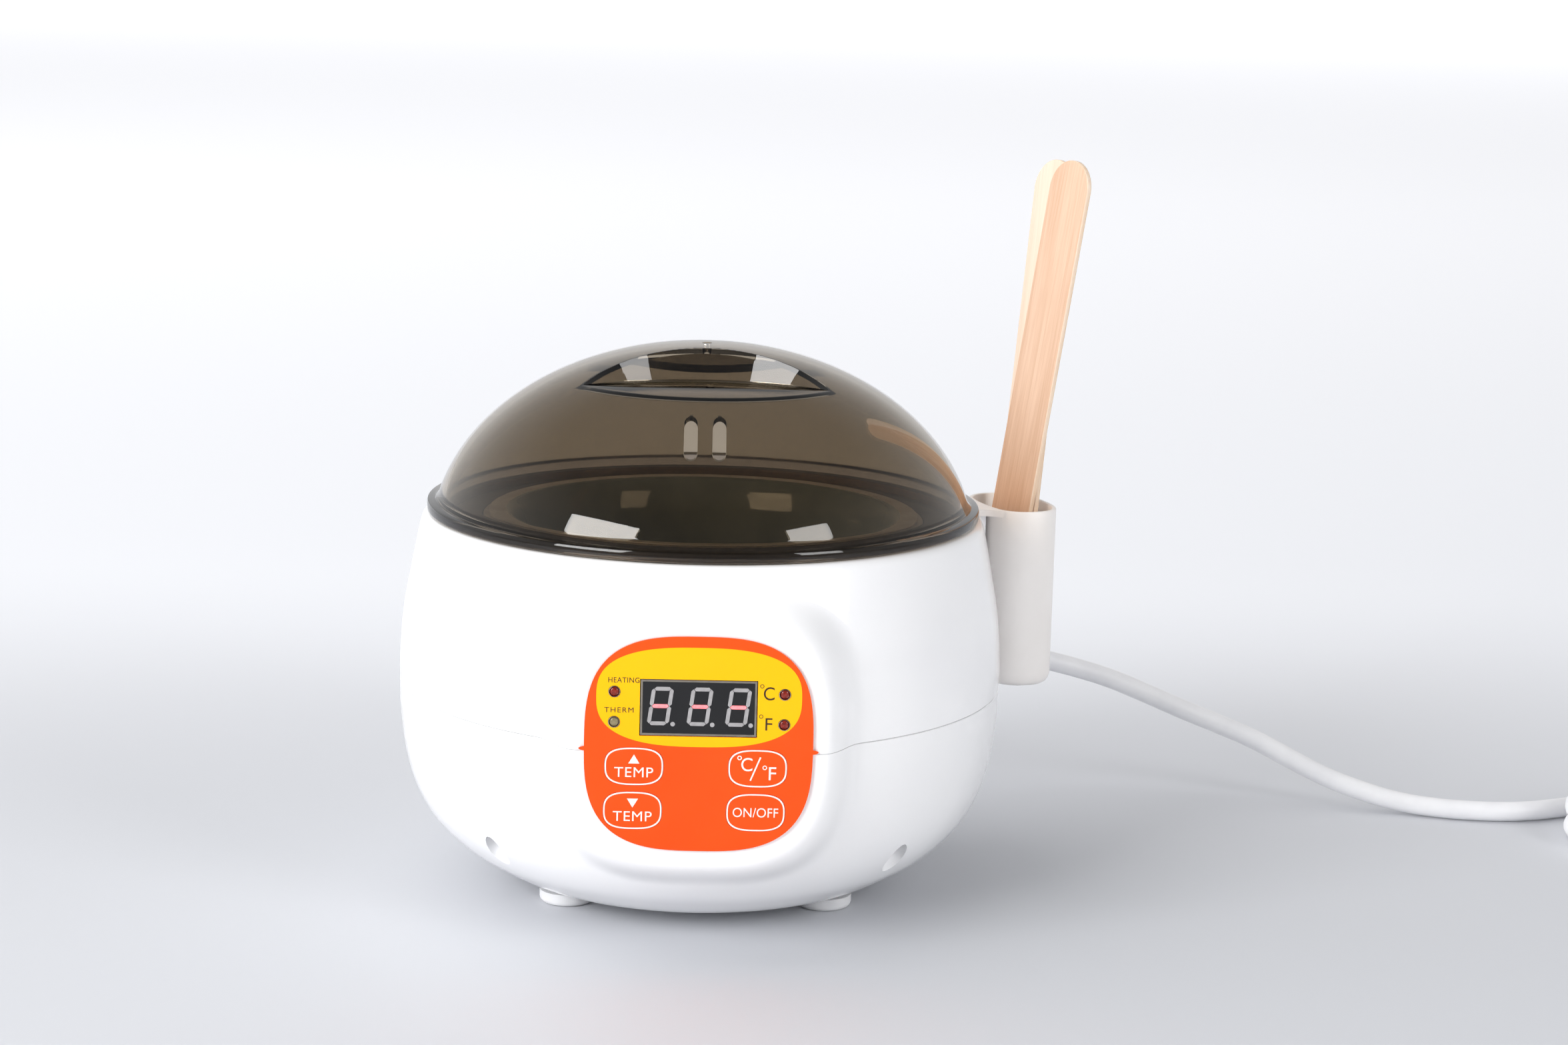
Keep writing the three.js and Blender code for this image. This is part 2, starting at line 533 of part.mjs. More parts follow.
function addMainsCord(parent) {
  const wallX = 87.6;
  const relief = turned([
    [0, wallX - 5.4], [6.6, wallX - 5.4], [6.6, wallX - 4], [4.9, wallX - 4], [4.9, wallX + 0.6],
    [6.4, wallX + 0.6], [6.4, wallX + 3], [5.4, wallX + 4], [4.2, wallX + CORD.reliefLength],
    [0, wallX + CORD.reliefLength],
  ], 20).rotateY(Math.PI / 2).rotateZ(radians(CORD.exitAzimuth)).translate(0, 0, CORD.exitZ);
  add(parent, 'strain_relief', relief, MATERIALS.cordWhite);
  add(parent, 'mains_cord', cordTube(CORD_ROUTE, 26), MATERIALS.cordWhite);
  add(parent, 'cord_coil', turnedRing([
    [COIL.inner, 0.2], [COIL.outer, 0.2], [COIL.outer, COIL.height], [COIL.inner, COIL.height],
  ], 36).translate(COIL.x, COIL.y, 0), MATERIALS.cordWhite);
  add(parent, 'cord_tail', cordTube(CORD_TAIL, 4), MATERIALS.cordWhite);

  const plugX = CORD_TAIL[0][0];
  const halfWidth = PLUG.width / 2;
  const outline = new THREE.Shape();
  outline.moveTo(-4.5, 0);
  outline.lineTo(4.5, 0);
  outline.quadraticCurveTo(halfWidth, -12, halfWidth, -24);
  outline.lineTo(halfWidth, -PLUG.length);
  outline.lineTo(-halfWidth, -PLUG.length);
  outline.lineTo(-halfWidth, -24);
  outline.quadraticCurveTo(-halfWidth, -12, -4.5, 0);
  const body = new THREE.ExtrudeGeometry(outline, {
    depth: PLUG.height, bevelEnabled: false, curveSegments: 6,
  })
    .translate(plugX, PLUG.y, 0.1);
  add(parent, 'mains_plug', body, MATERIALS.cordWhite);
  SIDES.forEach((side, i) => {
    const backY = PLUG.y - PLUG.length - GAP;
    const pin = rodY(PLUG.pinRadius, backY - PLUG.pinLength, backY, 12)
      .translate(plugX + (side * PLUG.pinPitch) / 2, 0, 0.1 + PLUG.height / 2);
    add(parent, `plug_pin_${i + 1}`, pin, MATERIALS.steel);
  });
}

// ---------------------------------------------------------------- the whole warmer

const warmer = new THREE.Group();
warmer.position.set(AXIS.x, AXIS.y, 0);
addHousing(warmer);
addHeating(warmer);
addLid(warmer);
addPanel(warmer);
addPowerBoard(warmer);
addSpatulaCup(warmer);
addSpatulas(warmer);
addMainsCord(warmer);

const group = new THREE.Group();
group.add(warmer);

export default group;
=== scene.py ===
"""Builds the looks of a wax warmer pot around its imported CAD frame.

The warmer is a white moulded housing with a soft-edged control boss, a smoked dome lid with two finger
scoops, a non-stick pot, a clip-on cup with two wooden spatulas and a mains lead that ends in a coil and a
plug. Each sub-assembly is a class; main() builds them in order. Sizes in the classes are millimetres from
the housing's axis, with the panel towards -Y and Z up.
"""

from __future__ import annotations

import logging
import math
from dataclasses import dataclass, replace
from enum import Enum

import bpy
from mathutils import Matrix, Vector


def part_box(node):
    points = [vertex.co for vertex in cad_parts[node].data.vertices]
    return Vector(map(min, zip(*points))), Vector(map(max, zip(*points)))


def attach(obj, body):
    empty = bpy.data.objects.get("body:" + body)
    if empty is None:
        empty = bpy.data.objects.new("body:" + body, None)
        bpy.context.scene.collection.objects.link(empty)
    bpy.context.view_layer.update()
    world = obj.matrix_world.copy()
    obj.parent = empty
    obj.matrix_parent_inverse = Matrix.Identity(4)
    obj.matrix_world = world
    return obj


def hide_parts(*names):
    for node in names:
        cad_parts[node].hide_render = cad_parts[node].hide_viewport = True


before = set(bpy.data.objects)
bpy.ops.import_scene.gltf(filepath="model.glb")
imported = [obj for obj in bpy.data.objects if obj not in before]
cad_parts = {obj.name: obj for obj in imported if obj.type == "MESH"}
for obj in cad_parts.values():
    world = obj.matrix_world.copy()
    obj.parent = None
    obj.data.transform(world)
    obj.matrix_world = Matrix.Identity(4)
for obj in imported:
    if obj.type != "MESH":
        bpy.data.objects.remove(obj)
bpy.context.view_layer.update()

MM = 0.001
LOG = logging.getLogger("wax_warmer")
SIDES = (-1, 1)
# How thick printed lettering is, in millimetres.
INK_THICK = 0.03


def housing_axis() -> Vector:
    """Returns where the housing's upright axis meets the floor, in metres, from the pot that stands on it."""
    low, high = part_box("inner_pot")
    return Vector(((low[0] + high[0]) / 2, (low[1] + high[1]) / 2, 0))


AXIS = housing_axis()


def spot(x: float, y: float, z: float) -> Vector:
    """Returns a point in metres in the part's frame from millimetres off the housing's axis."""
    return AXIS + Vector((x, y, z)) * MM


# ---------------------------------------------------------------- bench tools


class Cut(Enum):
    """How one solid acts on another."""

    TAKE_AWAY = "DIFFERENCE"
    JOIN = "UNION"
    KEEP_SHARED = "INTERSECT"


class Layer(Enum):
    """How far each printed layer stands off the panel film, in millimetres."""

    FIELD = 0.04
    INK = 0.08


def select_only(piece: bpy.types.Object) -> None:
    """Selects one object alone and makes it active."""
    bpy.ops.object.select_all(action="DESELECT")
    piece.select_set(True)
    bpy.context.view_layer.objects.active = piece


def start_editing(piece: bpy.types.Object) -> None:
    """Opens a piece in edit mode with all of it selected."""
    select_only(piece)
    bpy.ops.object.mode_set(mode="EDIT")
    bpy.ops.mesh.select_all(action="SELECT")


def stop_editing() -> None:
    """Goes back to object mode."""
    bpy.ops.object.mode_set(mode="OBJECT")


def named(piece: bpy.types.Object, name: str) -> bpy.types.Object:
    """Names an object and its mesh and returns it."""
    piece.name = name
    piece.data.name = name
    return piece


def settle(piece: bpy.types.Object) -> None:
    """Moves an object's place, turn and size into its mesh."""
    select_only(piece)
    bpy.ops.object.transform_apply(location=True, rotation=True, scale=True)


def smooth(piece: bpy.types.Object, degrees: float = 35) -> None:
    """Shades a piece smoothly, with creases past an angle."""
    select_only(piece)
    bpy.ops.object.shade_smooth_by_angle(angle=math.radians(degrees))


def tidy_skin(piece: bpy.types.Object) -> None:
    """Merges doubled points and turns every face outwards."""
    start_editing(piece)
    bpy.ops.mesh.remove_doubles(threshold=2e-6)
    bpy.ops.mesh.normals_make_consistent(inside=False)
    stop_editing()


def round_blank(name: str, sides: int, radius: float = 1.0) -> bpy.types.Object:
    """Cuts a flat disc at the origin, ready to be shaped.

    Args:
        name: The new piece's name.
        sides: Facets round it.
        radius: Its radius in millimetres.

    Returns:
        The disc, one face thick.
    """
    bpy.ops.object.select_all(action="DESELECT")
    bpy.ops.mesh.primitive_circle_add(
        vertices=sides, radius=radius * MM, fill_type="NGON", location=(0, 0, 0)
    )
    return named(bpy.context.object, name)


def thicken(piece: bpy.types.Object, way: tuple[float, float, float]) -> bpy.types.Object:
    """Draws a flat piece out into a solid.

    Args:
        piece: The flat piece.
        way: How far it is drawn out along X, Y and Z, in millimetres.

    Returns:
        The closed piece.
    """
    start_editing(piece)
    bpy.ops.mesh.extrude_region_move(TRANSFORM_OT_translate={"value": tuple(part * MM for part in way)})
    stop_editing()
    tidy_skin(piece)
    return piece


def through(points: list[tuple[float, ...]], per_span: int) -> list[tuple[float, ...]]:
    """Draws an even curve through points.

    Args:
        points: The places that the curve passes through, in any number of dimensions.
        per_span: How many steps lie between two neighbours.

    Returns:
        The curve's points, from the first place to the last.
    """
    line = []
    for i in range(len(points) - 1):
        p = [points[max(0, min(len(points) - 1, i + k))] for k in (-1, 0, 1, 2)]
        for step in range(per_span):
            t = step / per_span
            line.append(tuple(
                0.5 * (
                    2 * b + (c - a) * t + (2 * a - 5 * b + 4 * c - d) * t * t
                    + (3 * b - a - 3 * c + d) * t**3
                )
                for a, b, c, d in zip(*p)
            ))
    return [*line, tuple(points[-1])]


def turned(name: str, profile: list[tuple[float, float]], steps: int = 144) -> bpy.types.Object:
    """Turns a profile round the housing's axis, as on a lathe.

    Args:
        name: The new piece's name.
        profile: Radius and height of each point, in millimetres. Both ends lie on the axis, or the last
            point is the first.
        steps: Facets round the turn.

    Returns:
        The closed piece.
    """
    bpy.ops.object.select_all(action="DESELECT")
    bpy.ops.mesh.primitive_plane_add(size=MM, location=(0, 0, 0))
    piece = named(bpy.context.object, name)
    start_editing(piece)
    bpy.ops.mesh.merge(type="CENTER")
    last = spot(profile[0][0], 0, profile[0][1])
    bpy.ops.transform.translate(value=last)
    for radius, z in profile[1:]:
        point = spot(radius, 0, z)
        bpy.ops.mesh.extrude_region_move(TRANSFORM_OT_translate={"value": point - last})
        last = point
    bpy.ops.mesh.select_all(action="SELECT")
    bpy.ops.mesh.spin(steps=steps, angle=2 * math.pi, center=AXIS, axis=(0, 0, 1))
    stop_editing()
    tidy_skin(piece)
    return piece


def ring(profile: list[tuple[float, float]]) -> list[tuple[float, float]]:
    """Closes a ring's cross-section."""
    return [*profile, profile[0]]


def drilled(name: str, radius: float, start: Vector, end: Vector, sides: int = 48) -> bpy.types.Object:
    """Makes a plain round bar between two points, for drilling and for posts.

    Args:
        name: The bar's name.
        radius: Its radius in millimetres.
        start: One end, in metres.
        end: The other end, in metres.
        sides: Facets round it.

    Returns:
        The bar.
    """
    along = end - start
    bpy.ops.object.select_all(action="DESELECT")
    bpy.ops.mesh.primitive_cylinder_add(
        vertices=sides, radius=radius * MM, depth=along.length, location=(start + end) / 2,
        rotation=along.to_track_quat("Z", "Y").to_euler(),
    )
    bar = named(bpy.context.object, name)
    settle(bar)
    return bar


def carve(piece: bpy.types.Object, tool: bpy.types.Object, how: Cut) -> None:
    """Works one solid with another and throws the tool away.

    Args:
        piece: The solid that is worked and kept.
        tool: The other solid, which is removed.
        how: How the tool acts.
    """
    select_only(piece)
    modifier = piece.modifiers.new("carve", "BOOLEAN")
    modifier.object = tool
    modifier.operation = how.value
    modifier.solver = "MANIFOLD"
    bpy.ops.object.modifier_apply(modifier=modifier.name)
    bpy.data.objects.remove(tool)


def soften(piece: bpy.types.Object, width: float, segments: int = 3, degrees: float = 40) -> None:
    """Rounds a piece's sharp edges.

    Args:
        piece: The piece.
        width: The rounding's width in millimetres.
        segments: Facets across the rounding.
        degrees: Edges sharper than this are rounded.
    """
    select_only(piece)
    modifier = piece.modifiers.new("soften", "BEVEL")
    modifier.width = width * MM
    modifier.segments = segments
    modifier.limit_method = "ANGLE"
    modifier.angle_limit = math.radians(degrees)
    bpy.ops.object.modifier_apply(modifier=modifier.name)


def joined(name: str, pieces: list[bpy.types.Object]) -> bpy.types.Object:
    """Makes several objects one piece.

    Args:
        name: The new piece's name.
        pieces: The objects, of which the first takes in the others.

    Returns:
        The piece.
    """
    bpy.ops.object.select_all(action="DESELECT")
    for piece in pieces:
        piece.select_set(True)
    bpy.context.view_layer.objects.active = pieces[0]
    if len(pieces) > 1:
        bpy.ops.object.join()
    return named(pieces[0], name)


def copied(piece: bpy.types.Object, name: str) -> bpy.types.Object:
    """Copies a piece with a mesh of its own.

    Args:
        piece: The piece to copy.
        name: The copy's name.

    Returns:
        The copy.
    """
    twin = piece.copy()
    twin.data = piece.data.copy()
    bpy.context.collection.objects.link(twin)
    return named(twin, name)


def rounded_square(half_x: float, half_z: float, power: float, angle: float) -> tuple[float, float]:
    """Finds a point on an outline between an ellipse and a rectangle.

    Args:
        half_x: Half the outline's width.
        half_z: Half its height.
        power: Its squareness: 2 is an ellipse, and a rectangle is far above that.
        angle: Where round the outline the point is, in radians.

    Returns:
        The point, in the units of the half sizes.
    """
    c, s = math.cos(angle), math.sin(angle)
    return (
        half_x * math.copysign(abs(c) ** (2 / power), c),
        half_z * math.copysign(abs(s) ** (2 / power), s),
    )


@dataclass(frozen=True)
class Outline:
    """A flat shape on the panel: a softened rectangle by its half sizes, its squareness and its place."""

    x: float
    z: float
    half_x: float
    half_z: float
    power: float = 2.0
    points: int = 96

    def blank(self, name: str, front: float, thick: float) -> bpy.types.Object:
        """Cuts the shape out of a sheet.

        Args:
            name: The new piece's name.
            front: Where its front face is along Y, in millimetres.
            thick: The sheet's thickness in millimetres.

        Returns:
            The closed plate.
        """
        piece = round_blank(name, self.points)
        for vertex in piece.data.vertices:
            angle = math.atan2(vertex.co.y, vertex.co.x)
            x, z = rounded_square(self.half_x, self.half_z, self.power, angle)
            vertex.co = spot(self.x + x, front, self.z + z)
        return thicken(piece, (0, thick, 0))

    def line(self, name: str, front: float, thick: float, stroke: float) -> bpy.types.Object:
        """Cuts a line of even width that follows the shape's edge.

        Args:
            name: The new piece's name.
            front: Where its front face is along Y, in millimetres.
            thick: The sheet's thickness in millimetres.
            stroke: The line's width in millimetres.

        Returns:
            The closed ring.
        """
        inner = replace(self, half_x=self.half_x - stroke, half_z=self.half_z - stroke)
        piece = self.blank(name, front, thick)
        carve(piece, inner.blank("tool", front - 1, thick + 2), Cut.TAKE_AWAY)
        return piece


def slab(name: str, low: tuple[float, float, float], high: tuple[float, float, float]) -> bpy.types.Object:
    """Makes a block, ready to be rounded or used as a tool.

    Args:
        name: The block's name.
        low: Its lowest corner, in millimetres off the axis.
        high: Its highest corner, in millimetres off the axis.

    Returns:
        The block.
    """
    a, b = spot(*low), spot(*high)
    bpy.ops.object.select_all(action="DESELECT")
    bpy.ops.mesh.primitive_cube_add(size=1, location=(a + b) / 2, scale=b - a)
    piece = named(bpy.context.object, name)
    settle(piece)
    return piece


def lettering(
    name: str, words: str, x: float, z: float, height: float, front: float, width: float, gap: float = 1.0
) -> bpy.types.Object:
    """Prints generic lettering on the panel.

    Args:
        name: The new piece's name.
        words: What it says.
        x: Its middle across the panel, in millimetres.
        z: Its middle up the panel, in millimetres.
        height: The capitals' height in millimetres.
        front: Where the ink's front is along Y, in millimetres.
        width: The whole line's width in millimetres.
        gap: The room each letter takes, as a share of the font's own.

    Returns:
        The lettering as a thin mesh.
    """
    bpy.ops.object.select_all(action="DESELECT")
    bpy.ops.object.text_add(location=(0, 0, 0))
    piece = bpy.context.object
    piece.data.body = words
    piece.data.size = 1
    piece.data.space_character = gap
    piece.data.extrude = 0.01
    bpy.ops.object.convert(target="MESH")
    piece = named(bpy.context.object, name)
    points = [v.co for v in piece.data.vertices]
    low = [min(p[i] for p in points) for i in range(3)]
    high = [max(p[i] for p in points) for i in range(3)]
    tall = height / (high[1] - low[1])
    wide = width / (high[0] - low[0])
    for vertex in piece.data.vertices:
        vertex.co = spot(
            x + (vertex.co.x - (low[0] + high[0]) / 2) * wide,
            front + (0.0 if vertex.co.z > 0 else INK_THICK),
            z + (vertex.co.y - (low[1] + high[1]) / 2) * tall,
        )
    return piece


# ---------------------------------------------------------------- finishes


def linear(shade: str) -> tuple[float, float, float, float]:
    """Turns an sRGB hex colour into the linear colour that a shader takes."""
    parts = [int(shade[i:i + 2], 16) / 255 for i in (1, 3, 5)]
    return (*(p / 12.92 if p <= 0.04045 else ((p + 0.055) / 1.055) ** 2.4 for p in parts), 1.0)


def add_node(
    tree: bpy.types.NodeTree, kind: str, settings: dict | None = None, links: dict | None = None
) -> bpy.types.Node:
    """Adds a node with its settings and its links.

    Args:
        tree: The node tree.
        kind: The node's type.
        settings: Values by attribute name, or by input name or number.
        links: The output that feeds each input, by input name or number.

    Returns:
        The node.
    """
    node = tree.nodes.new(kind)
    for key, value in (settings or {}).items():
        if isinstance(key, str) and hasattr(node, key):
            setattr(node, key, value)
        else:
            node.inputs[key].default_value = value
    for key, output in (links or {}).items():
        tree.links.new(output, node.inputs[key])
    return node


def fresh_material(name: str) -> tuple[bpy.types.Material, bpy.types.NodeTree]:
    """Starts an empty material and returns it with its node tree."""
    material = bpy.data.materials.new(name)
    material.use_nodes = True
    material.node_tree.nodes.clear()
    return material, material.node_tree


def blend_of(
    tree: bpy.types.NodeTree, factor: bpy.types.NodeSocket, low: str, high: str, start: float, end: float
) -> bpy.types.NodeSocket:
    """Blends two shades along a factor.

    Args:
        tree: The node tree.
        factor: What the blend follows.
        low: The shade at the start.
        high: The shade at the end.
        start: The factor where the blend starts.
        end: The factor where the blend ends.

    Returns:
        The blended colour.
    """
    ramp = add_node(tree, "ShaderNodeValToRGB", links={"Fac": factor})
    ramp.color_ramp.elements[0].position = start
    ramp.color_ramp.elements[0].color = linear(low)
    ramp.color_ramp.elements[1].position = end
    ramp.color_ramp.elements[1].color = linear(high)
    return ramp.outputs["Color"]


def ramp_of(
    tree: bpy.types.NodeTree, factor: bpy.types.NodeSocket, source: tuple[float, float],
    target: tuple[float, float], way: str = "LINEAR",
) -> bpy.types.NodeSocket:
    """Runs a number between two values along a factor.

    Args:
        tree: The node tree.
        factor: What the number follows.
        source: The factor where the run starts, and where it ends.
        target: The number at the start, and at the end.
        way: How the number goes from one to the other.

    Returns:
        The number.
    """
    settings = {
        "interpolation_type": way, "From Min": source[0], "From Max": source[1],
        "To Min": target[0], "To Max": target[1],
    }
    return add_node(tree, "ShaderNodeMapRange", settings, {"Value": factor}).outputs["Result"]


def range_of(
    tree: bpy.types.NodeTree, factor: bpy.types.NodeSocket, low: float, high: float
) -> bpy.types.NodeSocket:
    """Runs a number between two values over a noise's usual spread, 0.3 to 0.7."""
    return ramp_of(tree, factor, (0.3, 0.7), (low, high))


@dataclass(frozen=True)
class Moulded:
    """A moulded, cast or coated surface: slight clouding of its colour, uneven gloss and a fine texture."""

    name: str
    shade: str
    deep: str
    roughness: float
    gloss_drift: float = 0.05
    grain: float = 1.2
    relief: float = 0.004
    cloud: float = 30.0
    metallic: float = 0.0
    ior: float = 1.5
    coat: float = 0.0
    sheen: float = 0.0

    def make(self) -> bpy.types.Material:
        """Returns the finish as a material."""
        material, tree = fresh_material(self.name)
        place = add_node(tree, "ShaderNodeTexCoord").outputs["Object"]
        cloud = add_node(
            tree, "ShaderNodeTexNoise", {"Scale": 1000 / self.cloud, "Detail": 3.0}, {"Vector": place}
        ).outputs["Fac"]
        grain = add_node(
            tree, "ShaderNodeTexNoise", {"Scale": 1000 / self.grain, "Detail": 2.0}, {"Vector": place}
        ).outputs["Fac"]
        bump = add_node(
            tree, "ShaderNodeBump", {"Strength": 0.35, "Distance": self.relief * MM}, {"Height": grain}
        ).outputs["Normal"]
        settings = {"Metallic": self.metallic, "Coat Weight": self.coat, "Sheen Weight": self.sheen}
        if not self.metallic:
            settings["IOR"] = self.ior
        shader = add_node(tree, "ShaderNodeBsdfPrincipled", settings, {
            "Base Color": blend_of(tree, cloud, self.deep, self.shade, 0.32, 0.62),
            "Roughness": range_of(tree, cloud, self.roughness + self.gloss_drift, self.roughness),
            "Normal": bump,
        })
        add_node(tree, "ShaderNodeOutputMaterial", links={"Surface": shader.outputs["BSDF"]})
        return material


@dataclass(frozen=True)
class Smoked:
    """Clear brown-grey plastic: light that passes through is tinted, and lamps reach what is under it."""

    name: str
    tint: str
    lamp_tint: str
    roughness: float

    def make(self) -> bpy.types.Material:
        """Returns the finish as a material."""
        material, tree = fresh_material(self.name)
        place = add_node(tree, "ShaderNodeTexCoord").outputs["Object"]
        # Faint flow waves from moulding, about 25 mm apart, bend the reflections a little.
        wave = add_node(
            tree, "ShaderNodeTexNoise", {"Scale": 1000 / 25, "Detail": 1.0}, {"Vector": place}
        ).outputs["Fac"]
        bump = add_node(
            tree, "ShaderNodeBump", {"Strength": 0.3, "Distance": 0.05 * MM}, {"Height": wave}
        ).outputs["Normal"]
        glass = add_node(tree, "ShaderNodeBsdfPrincipled", {
            "Base Color": linear(self.tint), "Transmission Weight": 1.0, "IOR": 1.49,
            "Roughness": self.roughness,
        }, {"Normal": bump})
        clear = add_node(tree, "ShaderNodeBsdfTransparent", {"Color": linear(self.lamp_tint)})
        ray = add_node(tree, "ShaderNodeLightPath").outputs["Is Shadow Ray"]
        mixed = add_node(tree, "ShaderNodeMixShader", links={
            0: ray, 1: glass.outputs["BSDF"], 2: clear.outputs["BSDF"],
        })
        add_node(tree, "ShaderNodeOutputMaterial", links={"Surface": mixed.outputs["Shader"]})
        return material


@dataclass(frozen=True)
class Timber:
    """Cut birch: long pale fibres along the blade, fine pores and a dry surface."""

    name: str
    pale: str
    dark: str
    turn: tuple[float, float, float]
    offset: float

    def make(self) -> bpy.types.Material:
        """Returns the finish as a material."""
        material, tree = fresh_material(self.name)
        place = add_node(tree, "ShaderNodeTexCoord").outputs["Object"]
        turned_place = add_node(
            tree, "ShaderNodeMapping", {"Rotation": self.turn, "Location": (self.offset, 0, 0)},
            {"Vector": place},
        ).outputs["Vector"]
        # Fibres are about 0.5 mm across and 20 mm long, growth bands about 4 mm across and 120 mm long.
        fibre_place = add_node(
            tree, "ShaderNodeMapping", {"Scale": (2000, 50, 1000)}, {"Vector": turned_place}
        ).outputs["Vector"]
        band_place = add_node(
            tree, "ShaderNodeMapping", {"Scale": (250, 8, 120)}, {"Vector": turned_place}
        ).outputs["Vector"]
        fibre = add_node(
            tree, "ShaderNodeTexNoise", {"Scale": 1.0, "Detail": 4.0, "Roughness": 0.65},
            {"Vector": fibre_place},
        ).outputs["Fac"]
        band = add_node(
            tree, "ShaderNodeTexNoise", {"Scale": 1.0, "Detail": 3.0, "Distortion": 0.6},
            {"Vector": band_place},
        ).outputs["Fac"]
        grain = add_node(
            tree, "ShaderNodeMath", {"operation": "ADD"},
            {0: range_of(tree, fibre, 0.0, 0.5), 1: range_of(tree, band, 0.0, 0.5)},
        ).outputs["Value"]
        bump = add_node(
            tree, "ShaderNodeBump", {"Strength": 0.5, "Distance": 0.04 * MM}, {"Height": fibre}
        ).outputs["Normal"]
        shader = add_node(tree, "ShaderNodeBsdfPrincipled", {"IOR": 1.5}, {
            "Base Color": blend_of(tree, grain, self.dark, self.pale, 0.0, 0.85),
            "Roughness": range_of(tree, fibre, 0.72, 0.58), "Normal": bump,
        })
        add_node(tree, "ShaderNodeOutputMaterial", links={"Surface": shader.outputs["BSDF"]})
        return material


@dataclass(frozen=True)
class Board:
    """Printed circuit board: green solder mask with copper tracks under it."""

    name: str
    mask: str
    track: str

    def make(self) -> bpy.types.Material:
        """Returns the finish as a material."""
        material, tree = fresh_material(self.name)
        place = add_node(tree, "ShaderNodeTexCoord").outputs["Object"]
        # Tracks stand about 2.5 mm apart.
        cells = add_node(
            tree, "ShaderNodeTexVoronoi", {"feature": "DISTANCE_TO_EDGE", "Scale": 400.0}, {"Vector": place}
        ).outputs["Distance"]
        shader = add_node(tree, "ShaderNodeBsdfPrincipled", {"IOR": 1.5}, {
            "Base Color": blend_of(tree, cells, self.track, self.mask, 0.05, 0.09),
            "Roughness": range_of(tree, cells, 0.3, 0.42),
        })
        add_node(tree, "ShaderNodeOutputMaterial", links={"Surface": shader.outputs["BSDF"]})
        return material


@dataclass(frozen=True)
class Lit:
    """A lamp or display segment: coloured plastic that glows a little."""

    name: str
    shade: str
    deep: str
    glow: float

    def make(self) -> bpy.types.Material:
        """Returns the finish as a material."""
        material, tree = fresh_material(self.name)
        place = add_node(tree, "ShaderNodeTexCoord").outputs["Object"]
        # The diffuser is cloudy at about 0.6 mm.
        cloud = add_node(
            tree, "ShaderNodeTexNoise", {"Scale": 1600.0, "Detail": 2.0}, {"Vector": place}
        ).outputs["Fac"]
        colour = blend_of(tree, cloud, self.deep, self.shade, 0.3, 0.65)
        shader = add_node(
            tree, "ShaderNodeBsdfPrincipled", {"IOR": 1.5, "Roughness": 0.2, "Emission Strength": self.glow},
            {"Base Color": colour, "Emission Color": colour},
        )
        add_node(tree, "ShaderNodeOutputMaterial", links={"Surface": shader.outputs["BSDF"]})
        return material


Finish = Moulded | Smoked | Timber | Board | Lit

# Glossy injection-moulded ABS: bright white, sharp soft-box reflections, hardly any texture.
WHITE_ABS = Moulded("white_abs_gloss", "#f7f7f8", "#f3f3f5", 0.07, 0.03, 1.5, 0.003, 60, ior=1.54)
# The same plastic left matt under the feet.
WHITE_MATT = Moulded("white_abs_matt", "#f2f2f3", "#e9e9eb", 0.42, 0.08, 0.8, 0.01, 12)
# Polypropylene cup: a little warmer and duller than the housing.
CUP_PLASTIC = Moulded("white_polypropylene", "#f5f1ee", "#f0ebe7", 0.34, 0.06, 1.0, 0.006, 25, ior=1.49)
# Smoked SAN lid: brown-grey, clear, gloss on both faces.
SMOKED_DOME = Smoked("smoked_san", "#a59987", "#e8e0d6", 0.012)
# The lid's thick flange: light travels far through the plastic, so it looks nearly black.
SMOKED_EDGE = Smoked("smoked_san_thick", "#8f8478", "#b5aca1", 0.03)
# Non-stick coating on spun aluminium: dark green-grey with a soft shine and a fine orange-peel texture.
NON_STICK = Moulded("non_stick_coating", "#5a5f5a", "#50554f", 0.045, 0.03, 0.9, 0.003, 15, ior=1.6)
# The pot's rolled flange and the well: spun aluminium with a soft shine.
SPUN_ALUMINIUM = Moulded("spun_aluminium", "#ded9d0", "#cdc7be", 0.4, 0.1, 0.5, 0.006, 9, metallic=1.0)
# Heat-proof phenolic collar under the lid's rim: dark, dull gloss.
DARK_COLLAR = Moulded("phenolic_collar", "#2c2723", "#231f1c", 0.35, 0.08, 1.0, 0.01, 18)
# Screen-printed polyester film: saturated orange with a satin front.
ORANGE_FILM = Moulded("printed_film_orange", "#ff4f0c", "#fb4b09", 0.3, 0.05, 0.35, 0.003, 25, ior=1.3)
# The yellow field printed on the same film.
YELLOW_FIELD = Moulded("printed_film_yellow", "#f8b800", "#f6b500", 0.3, 0.05, 0.35, 0.003, 25, ior=1.3)
# White and black screen inks: flat, slightly uneven cover.
WHITE_INK = Moulded("screen_ink_white", "#fbe9e4", "#f6dfd8", 0.5, 0.08, 0.3, 0.004, 2)
BLACK_INK = Moulded("screen_ink_black", "#3a2c10", "#312409", 0.5, 0.08, 0.3, 0.004, 2)
# Display face: smoked acrylic over a black module, with a sharp reflection.
DISPLAY_FACE = Moulded("smoked_display_face", "#121214", "#0e0e10", 0.08, 0.03, 0.6, 0.002, 8)
# Display surround: grey filled epoxy.
DISPLAY_EDGE = Moulded("grey_epoxy", "#77726a", "#6b665f", 0.4, 0.08, 0.5, 0.006, 3)
# Unlit display segments: pale grey diffusers.
SEGMENT_GREY = Moulded("unlit_segment", "#a2a0a1", "#979596", 0.35, 0.06, 0.3, 0.003, 1.2)
# Lit middle segments: pink-red glow.
SEGMENT_LIT = Lit("lit_segment", "#ff8d92", "#ff7a80", 0.35)
# Indicator lamps: dark red and grey epoxy domes, unlit, each with a faint painted glow.
LAMP_RED = Lit("indicator_red_painted_glow", "#8f2a1c", "#5e160f", 0.02)
LAMP_GREY = Lit("indicator_grey_painted_glow", "#8a7f60", "#756b50", 0.02)
